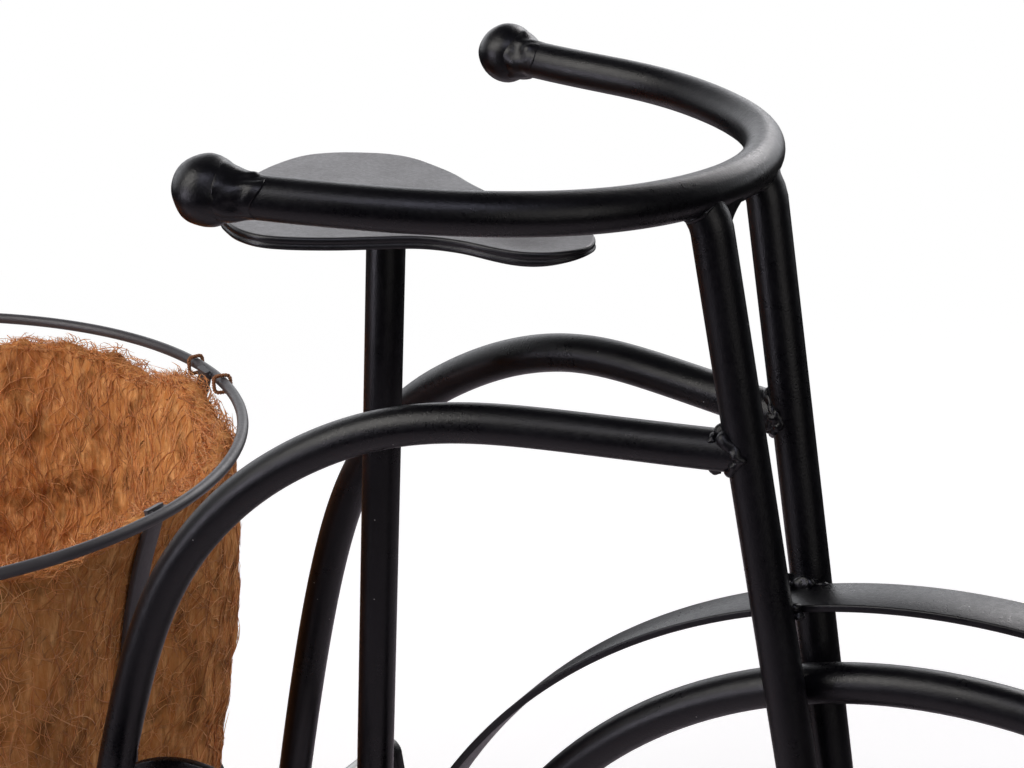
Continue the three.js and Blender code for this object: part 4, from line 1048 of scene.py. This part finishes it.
class PLANTER_OT_drive(bpy.types.Operator):
    """Builds the lower frame bars and the crank with its chain ring, arms and pedals."""

    bl_idname = "planter.drive"
    bl_label = "Crank and lower frame"

    def execute(self, context):
        self.lower_frame()
        self.crank()
        return {"FINISHED"}

    def lower_frame(self):
        radius, outer = tube_radius(), CRANK_SHELL[1]
        ends = [frame_at_height(name, CROSS_TUBE_Z) for name in SIDES]
        middle = (ends[0] + ends[1]) / 2
        way = unit(middle - CRANK)
        for name, shell in (
                ("crank_shell", moved(sleeve(*CRANK_SHELL, 48, 0.8), by=CRANK)),
                ("lower_bar_front", rod(CRANK + [outer, 0, 0], (LOWER_BAR_FRONT_X, 0, CRANK[2]), radius, 32)),
                ("lower_bar_rear", rod(CRANK + way * outer, middle, radius, 32)),
                ("cross_tube", rod(*ends, radius, 32))):
            add_piece(f"{name}_tube", shell, name)
        joints = [(CRANK, X_AXIS, radius, CRANK, Y_AXIS, outer), (CRANK, way, radius, CRANK, Y_AXIS, outer),
                  (middle, -way, radius, middle, Y_AXIS, radius)]
        for end, name in zip(ends, SIDES):
            path = frame_path(name)[60:]
            at = nearest(path[:, 2], CROSS_TUBE_Z)
            joints.append((end, unit(middle - end), radius, end, unit(path[at + 2] - path[at - 2]), radius))
        beads = [joint_bead(joint, SMALL_BEAD, 111 + k) for k, joint in enumerate(joints)]
        add_piece("lower_frame_welds", merged(*beads))

    def crank(self):
        inside, outside, thick = CHAIN_RING
        at_ring = CRANK + [0, CHAIN_RING_Y, 0]
        ring = moved(sleeve(inside, outside, thick, 120, 0.5), by=at_ring)
        add_piece("chain_ring_plate", ring, "chain_ring", body="crank", sharp=50)
        arm = block((7, 0, 0), (inside + 0.1, 0, 0), thick, 8, 0.6, Y_AXIS)
        arms = [moved(arm, turn) for turn in full_turn(SPIDER_ARMS)]
        spider = moved(merged(sleeve(*SPIDER_HUB, 36), *arms), by=at_ring)
        add_piece("chain_ring_spider_plate", spider, "chain_ring_spider", body="crank", sharp=50)
        half = CRANK_ARM_Y + CRANK_ARM_THICK / 2
        axle = rod(CRANK - [0, half, 0], CRANK + [0, half, 0], CRANK_AXLE_RADIUS, 24)
        add_piece("crank_axle_steel", axle, "crank_axle", body="crank", slot="zinc", sharp=50)
        stadium = circle(6, 64)
        stadium[:, 0] += np.where(np.cos(full_turn(64)) > 0, CRANK_ARM_LENGTH, 0)
        for name, side in SIDES.items():
            angle = side * math.pi / 2 - math.pi / 2 - CRANK_REST_ANGLE
            at_arm = CRANK + [0, side * CRANK_ARM_Y, 0]
            arm = moved(plate(even_outline(stadium, 120), CRANK_ARM_THICK, 0.9), angle, by=at_arm)
            add_piece(f"crank_arm_{name}_plate", arm, f"crank_arm_{name}", body="crank", sharp=50)
            rails = [block((x, 2.95, 0), (x, 44.65, 0), 8.7, 5.9, 1.2) for x in PEDAL_RAILS_X]
            rails += [block((-13, y, 0), (13, y, 0), 9, 6, 1.4) for y in PEDAL_ENDS_Y]
            cage = merged(*rails, rod((0, -2.5, 0), (0, 20, 0), 3.5, 20))
            at_pedal = at_arm + [CRANK_ARM_LENGTH * math.cos(angle), 0, -CRANK_ARM_LENGTH * math.sin(angle)]
            cage = moved(cage, math.pi if side < 0 else 0.0, Z_AXIS, at_pedal)
            add_piece(f"pedal_{name}_cage", cage, f"pedal_{name}", body=f"pedal_{name}", sharp=50)


class PLANTER_OT_wheels(bpy.types.Operator):
    """Bends the three rims and sets their spokes, hubs, rear axle, collars and cap nuts."""

    bl_idname = "planter.wheels"
    bl_label = "Wheels"

    def wheel(self, rim_radius, hub, spokes, angle):
        """Rim, hub with spokes, and the spokes' welds; the hub is given as bore, radius and length."""
        inside = rim_radius - tube_radius()
        parts, beads = [sleeve(*hub, 40, 0.8)], []
        for k, turn in enumerate(angle + full_turn(spokes)):
            out = np.array([math.cos(turn), 0, math.sin(turn)])
            parts.append(rod(out * (hub[0] + hub[1]) / 2, out * (inside + 0.6), SPOKE_RADIUS, 16, 0.4))
            beads.append(lump(out * (inside + 0.2), (2.9, 3.3, 2.9), 130 + k, 0.15))
            beads.append(lump(out * hub[1], (2.9, 3.2, 2.9), 150 + k, 0.15))
        return hoop(rim_radius, tube_radius(), 200, 28), merged(*parts), merged(*beads)

    def execute(self, context):
        parts = self.wheel(FRONT_RIM_RADIUS, FRONT_HUB, FRONT_SPOKES, FRONT_SPOKE_ANGLE)
        rim, spokes, welds = (moved(part, by=FRONT_AXLE) for part in parts)
        add_piece("front_wheel_rim_tube", rim, "front_wheel_rim", body="front_wheel")
        add_piece("front_wheel_spokes_rods", spokes, "front_wheel_spokes", body="front_wheel")
        add_piece("front_wheel_welds", welds, body="front_wheel")
        parts = self.wheel(REAR_RIM_RADIUS, REAR_HUB, REAR_SPOKES, 0.0)
        hub_end = REAR_HUB[2] / 2 + GAP
        end = REAR_TRACK / 2 + hub_end + CAP_NUT[1]
        axle = rod(REAR_AXLE - [0, end, 0], REAR_AXLE + [0, end, 0], REAR_AXLE_RADIUS, 28)
        add_piece("rear_axle_rod", axle, "rear_axle")
        for name, side in SIDES.items():
            body, place = f"rear_wheel_{name}", REAR_AXLE + [0, side * REAR_TRACK / 2, 0]
            rim, spokes, welds = (moved(part, by=place) for part in parts)
            add_piece(f"rear_rim_{name}_tube", rim, f"rear_rim_{name}", body=body)
            add_piece(f"rear_spokes_{name}_rods", spokes, f"rear_spokes_{name}", body=body)
            add_piece(f"rear_welds_{name}", welds, body=body)
            collar = moved(sleeve(*COLLAR, 40, 0.7), by=place - [0, side * (hub_end + COLLAR[2] / 2), 0])
            add_piece(f"rear_collar_{name}_ring", collar, f"rear_collar_{name}", sharp=50)
            nut = moved(self.cap_nut(), math.pi if side < 0 else 0.0, X_AXIS, place + [0, side * hub_end, 0])
            add_piece(f"rear_cap_nut_{name}_steel", nut, f"rear_cap_nut_{name}", slot="zinc", sharp=40)
        return {"FINISHED"}

    def cap_nut(self):
        """Hexagon with a dome over it, along the Y axis from the origin."""
        flats, height, dome = CAP_NUT
        polar = np.linspace(0, math.pi, 26)[1:-1]
        path = np.stack([0 * polar, height - 0.9 * dome * np.cos(polar), 0 * polar], axis=1)
        rings = swept(path, circle(dome, 40) * np.sin(polar)[:, None, None], Z_AXIS)
        return merged(moved(plate(hexagon(flats), height, 0.9), by=(0, height / 2, 0)), skin(rings))


def spun(shell, angle=0.0):
    """A shell turned about the basket's upright axis and put in the basket's place."""
    return moved(shell, angle, Z_AXIS, (BASKET_X, 0, 0))


class PLANTER_OT_basket(bpy.types.Operator):
    """Bends the basket's hoops, its six bowed strips and the crossed floor strips."""

    bl_idname = "planter.basket"
    bl_label = "Basket"

    def strip(self, line):
        """Flat strip along a line of (radius, z) points."""
        return skin(swept(upright(line), rounded_box(*STRIP_SIZE, 0.55, 4), Y_AXIS))

    def execute(self, context):
        sizes = context.scene.planter_sizes
        ring, base, wire = (v / MM / 2 for v in (sizes.ring_diameter, sizes.base_diameter, sizes.wire_diameter))
        half = STRIP_SIZE[1] / 2
        for name, size, steps, sides, z in (("top", ring, 220, 20, RING_Z), ("base", base, 180, 16, BASE_RING_Z)):
            shell = moved(hoop(size, wire, steps, sides, level=True), by=(BASKET_X, 0, z))
            add_piece(f"basket_{name}_ring_wire", shell, f"basket_{name}_ring", slot="basket_paint")
        inner, foot = ring - wire - 0.1 - half, base + wire + 0.1 + half
        line = [(inner, RING_Z + 2.4), (inner, RING_Z - wire - 0.3)]
        line += [(r * ring, RING_Z - d * (RING_Z - LINER_BOTTOM_Z)) for d, r, _ in PROFILE_SHARES]
        line += [(foot, BASE_RING_Z + wire), (foot, BASE_RING_Z - wire)]
        strip = self.strip(even(through(line, 400), 120))
        welds = []
        for k, angle in enumerate(full_turn(STRIPS)):
            add_piece(f"basket_strip_{k + 1}_flat", spun(strip, angle), f"basket_strip_{k + 1}", slot="basket_paint",
                      sharp=50)
            spots = [((inner, 0, RING_Z), *spot) for spot in TOP_TACKS]
            spots += [((foot, 0, BASE_RING_Z), *spot) for spot in BASE_TACKS]
            lumps = [lump(np.add(place, by), size, 160 + 7 * k + n, 0.2) for n, (place, by, size) in enumerate(spots)]
            welds.append(spun(merged(*lumps), angle))
        add_piece("basket_welds", merged(*welds), slot="basket_paint")
        reach = foot - half - 0.2
        for k, (bends, angle) in enumerate((((), 0.0), (FLOOR_BENDS, math.pi / 2))):
            line = np.array([(-reach, FLOOR_STRIP_Z), *bends, (reach, FLOOR_STRIP_Z)])
            add_piece(f"basket_floor_strip_{k + 1}_flat", spun(self.strip(even(line, 90)), angle),
                      f"basket_floor_strip_{k + 1}", slot="basket_paint", sharp=50)
        return {"FINISHED"}


class Liner:
    """The coir liner's surface. At angle a and height z its outer radius runs between two profiles, one beside the
    strips and one in the middle of a bay, by sin(pi t) of the place t across the bay, and noise is added. The rim's
    height follows the ragged edge."""

    def __init__(self, ring, wire):
        self.ring = ring
        land = STRIP_SIZE[1] / 2 + LINER_LAND
        rim = ring - wire - GAP - STRIP_SIZE[1] / 2 - land
        down, beside, bulged = np.array(PROFILE_SHARES[::-1]).T
        height = RING_Z - down * (RING_Z - LINER_BOTTOM_Z)
        self.height = np.array([LINER_BOTTOM_Z + 1, *height, RING_Z - 5, RING_Z + 4])
        self.beside = np.array([LINER_FOOT * ring, *np.minimum(beside * ring - land, bulged * ring), rim, rim])
        self.bulged = np.array([LINER_FOOT * ring, *bulged * ring, *rim + np.array(RIM_BULGE)])

    def rim(self, angle):
        """Height of the ragged edge at an angle."""
        height = np.full(np.shape(angle), RING_Z - RIM_BELOW)
        for centre, deep, width in RIM_DIPS:
            away = (np.degrees(angle) % 360 - centre + 180) % 360 - 180
            height = height - deep * np.exp(-((away / width) ** 2))
        place = about_z(self.ring, angle, 0.0)
        return height + 0.9 * ripple(place, 22, 201) + 0.5 * ripple(place, 7, 202)

    def bay(self, angle):
        """How far a place stands into its bay: 0 beside a strip and 1 in the middle."""
        land = math.asin((STRIP_SIZE[0] / 2 + LINER_LAND) / BAY_RADIUS)
        share = ((angle / TAU * STRIPS) % 1.0) * TAU / STRIPS
        return np.sin(math.pi * np.clip((share - land) / (TAU / STRIPS - 2 * land), 0, 1))

    def outer(self, angle, z):
        """Outer radius with its unevenness."""
        bay = self.bay(angle)
        low, high = np.interp(z, self.height, self.beside), np.interp(z, self.height, self.bulged)
        base = low + (high - low) * bay
        place = about_z(base, angle, z)
        rough = 0.75 * ripple(place, 34, 203) + 0.5 * ripple(place * [1, 1, 0.6], 11, 204)
        return base + (rough - 0.4) * (0.25 + 0.75 * bay)

    def inner(self, angle, z):
        """Inner radius: the wall's thickness drifts, and the wall is pressed in a little beside the floor."""
        base = self.outer(angle, z)
        place = about_z(base, angle, z)
        thick = LINER_THICKNESS + 0.8 * ripple(place, 45, 205) + 0.6 * ripple(place * [1, 1, 0.5], 13, 206)
        foot = np.clip((z - LINER_BOTTOM_Z - LINER_THICKNESS) / 22, 0, 1)
        return base - thick - 0.55 * ripple(place, 7, 208) - 6 * (1 - foot) ** 2

    def floor(self, x, y):
        """Height of the floor inside."""
        return LINER_BOTTOM_Z + LINER_THICKNESS + 0.4 * ripple(np.stack([x, y, 0 * x], axis=-1), 30, 207)

    def shell(self, steps=420):
        """One closed skin: underside, outer wall, rounded rim, inner wall and floor, as rings of a radius and z."""
        angle = full_turn(steps)
        top, under, floor = self.rim(angle) - 3, LINER_BOTTOM_Z + 3, LINER_BOTTOM_Z + LINER_THICKNESS + 3
        foot, low = self.outer(angle, under), self.inner(angle, floor)
        rings = [(foot * share, LINER_BOTTOM_Z + 0.15) for share in np.linspace(0.04, 0.95, 14)]
        rings.append((foot * 0.985, LINER_BOTTOM_Z + 0.8))
        rings += [(self.outer(angle, z), z) for z in np.linspace(under + 0 * top, top, 90)]
        outside, inside = self.outer(angle, top), self.inner(angle, top)
        for bend in np.linspace(0, math.pi, 9)[1:-1]:
            radius = (outside + inside) / 2 + (outside - inside) / 2 * math.cos(bend)
            rings.append((radius, top + 3 * math.sin(bend)))
        rings += [(self.inner(angle, z), z) for z in np.linspace(top, floor + 0 * top, 90)]
        for share in np.linspace(0.97, 0.04, 20):
            rings.append((low * share, self.floor(low * share * np.cos(angle), low * share * np.sin(angle))))
        return skin(np.stack([about_z(radius, angle, z) for radius, z in rings]))


def fibre_shell(points, radius):
    """Thin closed tubes along many short lines at once: `points` is (fibres, steps, 3) and each tube tapers to its
    ends. Each is a prism of three sides with a cap at both ends."""
    count, steps = points.shape[:2]
    along = unit(np.gradient(points, axis=1))
    first = unit(np.cross(along, np.where(np.abs(along[..., 2:]) < 0.8, Z_AXIS, X_AXIS)))
    turn = full_turn(FIBRE_SIDES)[:, None]
    taper = 1 - 0.65 * np.abs(np.linspace(-1, 1, steps)) ** 3
    size = (radius[:, None] * taper)[..., None, None]
    rings = points[:, :, None] + size * (
        np.cos(turn) * first[:, :, None] + np.sin(turn) * np.cross(along, first)[:, :, None])
    index = np.arange(count * steps * FIBRE_SIDES).reshape(count, steps, FIBRE_SIDES)
    lower, upper = index[:, :-1], index[:, 1:]
    quads = np.stack([lower, np.roll(lower, -1, 2), np.roll(upper, -1, 2), upper], axis=-1).reshape(-1, 4)
    triangles = np.concatenate([index[:, 0, ::-1], index[:, -1]])
    return rings.reshape(-1, 3), quads, triangles


class PLANTER_OT_liner(bpy.types.Operator):
    """Forms the coir liner with its ragged rim and covers it with loose fibres."""

    bl_idname = "planter.liner"
    bl_label = "Coir liner"

    def execute(self, context):
        sizes = context.scene.planter_sizes
        liner = Liner(sizes.ring_diameter / MM / 2, sizes.wire_diameter / MM / 2)
        mat = add_piece("coir_liner_mat", spun(liner.shell()), "coir_liner", slot="coir")
        count = context.scene.planter_looks.fibres
        for patch, kind in enumerate(("inside", "inside", "outside", "outside", "rim", "floor"), 1):
            shell, tone = self.fibres(liner, kind, count if kind != "floor" else count // 4, 300 + patch)
            add_piece(f"coir_fibres_{kind}_{patch}", spun(shell), slot="coir", finish="fibre", tone=tone)
        return {"FINISHED"}

    def fibres(self, liner, kind, count, seed):
        """Curved strands that follow the surface: each starts at a random place, runs in a random direction near the
        upright, bends a little, and rises off the surface by its own small height."""
        rng = np.random.default_rng(seed)
        at = np.linspace(-0.5, 0.5, FIBRE_STEPS)[None]
        spread, long, curl = FIBRE_KINDS[kind]

        def draw(law, *numbers):
            return law(*numbers, count)[:, None]

        around = draw(rng.uniform, 0, TAU)
        lean = np.radians(draw(rng.normal, 0, spread))
        length = draw(rng.gamma, 4, long) + 4
        bend = draw(rng.normal, 0, curl)
        heading = lean + bend * at
        sideways, upward = length * at * np.sin(heading), length * at * np.cos(heading)
        lift = draw(rng.gamma, 1.6, 0.3) + 0.05
        tilt = draw(rng.normal, 0, 0.35)
        rise = lift * (0.35 + 1.2 * at**2) + tilt * at + 0.05
        if kind == "floor":
            radius = FLOOR_RADIUS * np.sqrt(draw(rng.uniform, 0, 1))
            turn = draw(rng.uniform, 0, TAU) + bend * at
            x = radius * np.cos(around) + length * at * np.cos(turn)
            y = radius * np.sin(around) + length * at * np.sin(turn)
            points = np.stack([x, y, liner.floor(x, y) + rise], axis=-1)
        else:
            top, share = liner.rim(around), draw(rng.uniform, 0.01, 1)
            if kind == "rim":
                loose = draw(rng.uniform, 0, 1)
                radius = liner.inner(around, top - 3) * (1 - loose) + liner.outer(around, top - 3) * loose
                radius = radius + draw(rng.normal, 0, 0.55) * (at + 0.5) * length
                around = around + sideways / 140
                z = np.minimum(top - 2.0 + upward * 0.55 + 0.1 * length, top + 2.2)
                radius = np.clip(radius, liner.inner(around, top - 3) - 3, liner.outer(around, top - 3) + 1.6)
            else:
                low = LINER_BOTTOM_Z + (2 if kind == "outside" else LINER_THICKNESS + 4)
                z = np.clip(low + share * (top - 2 - low) + upward, low, top + 1.0)
                wall = np.minimum(z, top - 3)
                around = around + sideways / (130 if kind == "inside" else 140)
                if kind == "inside":
                    radius = liner.inner(around, wall) - rise
                else:
                    radius = liner.outer(around, wall) + rise * (0.3 + 0.7 * liner.bay(around))
            points = about_z(radius, around, z)
        thick = rng.uniform(0.1, 0.26, count)
        tone = rng.beta(0.8, 0.8, count) if kind == "outside" else rng.beta(2.0, 2.2, count)
        # Fibres on the outside are 0.12 paler: painted light on the outer wall, in place of more light from the side.
        tone = np.clip(tone + 0.1 * rng.normal(size=count) + (0.12 if kind == "outside" else 0), 0, 1)
        return fibre_shell(points, thick), np.repeat(tone, FIBRE_STEPS * FIBRE_SIDES)


class PLANTER_OT_ties(bpy.types.Operator):
    """Twists the twine loops that hold the liner to the top hoop."""

    bl_idname = "planter.ties"
    bl_label = "Liner ties"

    def execute(self, context):
        ring = context.scene.planter_sizes.ring_diameter / MM / 2
        angles = [strip * TAU / STRIPS + way * TIE_BESIDE / ring for strip in TIED_STRIPS for way in (-1, 1)]
        for k, angle in enumerate(angles):
            add_piece(f"liner_tie_{k + 1}_twine", spun(self.loop(ring, k), angle), f"liner_tie_{k + 1}", slot="twine")
        return {"FINISHED"}

    def loop(self, ring, seed):
        """Two strands wound round a small rounded square that hugs the hoop: centre line r(a) = ring - 0.6 + 3.6 C,
        z = -0.3 + 3.4 S, where C and S are the signed square roots of cos a and sin a, and each strand runs at 0.42 mm
        from it. S also grows or shrinks a little by chance, and the loop leans to a side by sin(a + seed)."""
        turn = full_turn(24)
        high = 3.4 + 0.3 * np.random.default_rng(400 + seed).uniform(-0.4, 0.4)
        flat = circle(1, 24)
        flat = np.sign(flat) * np.sqrt(np.abs(flat)) * [3.6, high] + [ring - 0.6, RING_Z - 0.3]
        corners = np.insert(flat, 1, 0.9 * np.sin(turn + seed), axis=1)
        centre = even_outline(through(corners, 600, closed=True), 180)
        along = unit(np.roll(centre, -1, 0) - np.roll(centre, 1, 0))
        out = unit(np.cross(Y_AXIS, along))
        strands = []
        for phase in (0, math.pi):
            wind = (12 * full_turn(180) + phase)[:, None]
            place = centre + 0.42 * (np.cos(wind) * out + np.sin(wind) * np.cross(along, out))
            strands.append(tube(place, 0.44, out, 8, True))
        return merged(*strands)


class PLANTER_OT_stage(bpy.types.Operator):
    """Lays the floor and sets the soft studio light, the white surround and the camera."""

    bl_idname = "planter.stage"
    bl_label = "Stage"

    def execute(self, context):
        self.floor()
        self.lights()
        self.world(context.scene)
        self.camera(context.scene)
        settings = context.scene.view_settings
        settings.view_transform = "Standard"
        settings.look = "None"
        return {"FINISHED"}

    def floor(self):
        """A pale floor. The camera sees it white, with the shadow that the object throws near its feet; the object
        itself is lit by a darker floor, as on a studio table."""
        half = FLOOR_HALF
        mesh = bpy.data.meshes.new("studio_floor")
        mesh.from_pydata([(-half, -half, 0), (half, -half, 0), (half, half, 0), (-half, half, 0)], [], [(0, 1, 2, 3)])
        tree = Finish("studio floor")
        tree.set(color=tree.blend(tree.noise(6), (0.86, 0.86, 0.86), (0.9, 0.9, 0.9)), roughness=0.9, specular=0.1)
        away = tree.add("VectorMath", {0: tree.place}, operation="LENGTH")["Value"]
        white, pale = (tree.add("Emission", {"Color": WHITE, "Strength": s})[0] for s in (1.0, FLOOR_LIFT))
        near = tree.add("AddShader", {0: tree.shader.outputs[0], 1: pale})[0]
        seen = tree.add("MixShader", {0: tree.remap(away, *FLOOR_FADE, smooth=True), 1: near, 2: white})[0]
        table = tree.blend(tree.remap(away, *TABLE_EDGE, smooth=True), FLOOR_BOUNCE, FLOOR_BEYOND)
        dull = tree.add("BsdfDiffuse", {"Color": table})[0]
        tree.put(tree.surface, tree.camera_sees(seen, dull))
        mesh.materials.append(tree.material)
        obj = linked("studio_floor", mesh)

    def lights(self):
        for name, place, aim, size, power, color in LIGHTS:
            data = bpy.data.lights.new(name, "AREA")
            data.shape = "RECTANGLE"
            data.size, data.size_y = size
            data.energy = power
            data.color = color
            lamp = linked(name, data)
            lamp.location = place
            lamp.rotation_euler = (Vector(aim) - Vector(place)).to_track_quat("-Z", "Y").to_euler()

    def world(self, scene):
        """White for the camera. For every other ray a pale backdrop low down behind the object and a dim room
        elsewhere: backdrop = step(direction along BACKDROP) * step down with height."""
        scene.world = bpy.data.worlds.new("studio")
        tree = Tree(scene.world)
        way = tree.add("TexCoord")["Generated"]
        behind = tree.add("VectorMath", {0: way, 1: BACKDROP}, operation="DOT_PRODUCT")["Value"]
        behind = tree.remap(behind, *BACKDROP_EDGE, smooth=True)
        low = tree.remap(tree.add("SeparateXYZ", {0: way})["Z"], *BACKDROP_TOP, 1.0, 0.0, smooth=True)
        strength = tree.math("MULTIPLY_ADD", tree.math("MULTIPLY", behind, low), BACKDROP_LIGHT, ROOM_LIGHT)
        soft = tree.add("Background", {"Color": (0.95, 0.96, 1.0), "Strength": strength})[0]
        white = tree.add("Background", {"Color": WHITE, "Strength": 1.0})[0]
        tree.add("OutputWorld", {"Surface": tree.camera_sees(white, soft)})

    def camera(self, scene):
        data = bpy.data.cameras.new("camera")
        data.sensor_width, data.lens = SENSOR_AND_LENS
        data.clip_start, data.clip_end = 0.05, 60
        scene.camera = linked("camera", data)
        scene.camera.location = CAMERA_PLACE
        scene.camera.rotation_euler = CAMERA_TURN


OPERATORS = (
    PLANTER_OT_handlebar, PLANTER_OT_fork, PLANTER_OT_mudguard, PLANTER_OT_frame_tubes, PLANTER_OT_saddle,
    PLANTER_OT_drive, PLANTER_OT_wheels, PLANTER_OT_basket, PLANTER_OT_liner, PLANTER_OT_ties, PLANTER_OT_stage,
)


class PLANTER_PT_panel(bpy.types.Panel):
    """Sizes, finishes and building steps of the planter."""

    bl_idname = "PLANTER_PT_panel"
    bl_label = "Bicycle planter"
    bl_space_type = "VIEW_3D"
    bl_region_type = "UI"
    bl_category = "Planter"

    def draw(self, context):
        for group in (context.scene.planter_sizes, context.scene.planter_looks):
            column = self.layout.column(align=True)
            for name in group.__annotations__:
                column.prop(group, name)
        for operator in OPERATORS:
            self.layout.operator(operator.bl_idname)


CLASSES = (PlanterSizes, PlanterLooks, *OPERATORS, PLANTER_PT_panel)


def register():
    for cls in CLASSES:
        bpy.utils.register_class(cls)
    bpy.types.Scene.planter_sizes = bpy.props.PointerProperty(type=PlanterSizes)
    bpy.types.Scene.planter_looks = bpy.props.PointerProperty(type=PlanterLooks)


def unregister():
    del bpy.types.Scene.planter_looks
    del bpy.types.Scene.planter_sizes
    for cls in reversed(CLASSES):
        bpy.utils.unregister_class(cls)


def main():
    register()
    for operator in OPERATORS:
        group, name = operator.bl_idname.split(".")
        getattr(getattr(bpy.ops, group), name)()


if __name__ == "__main__":
    main()
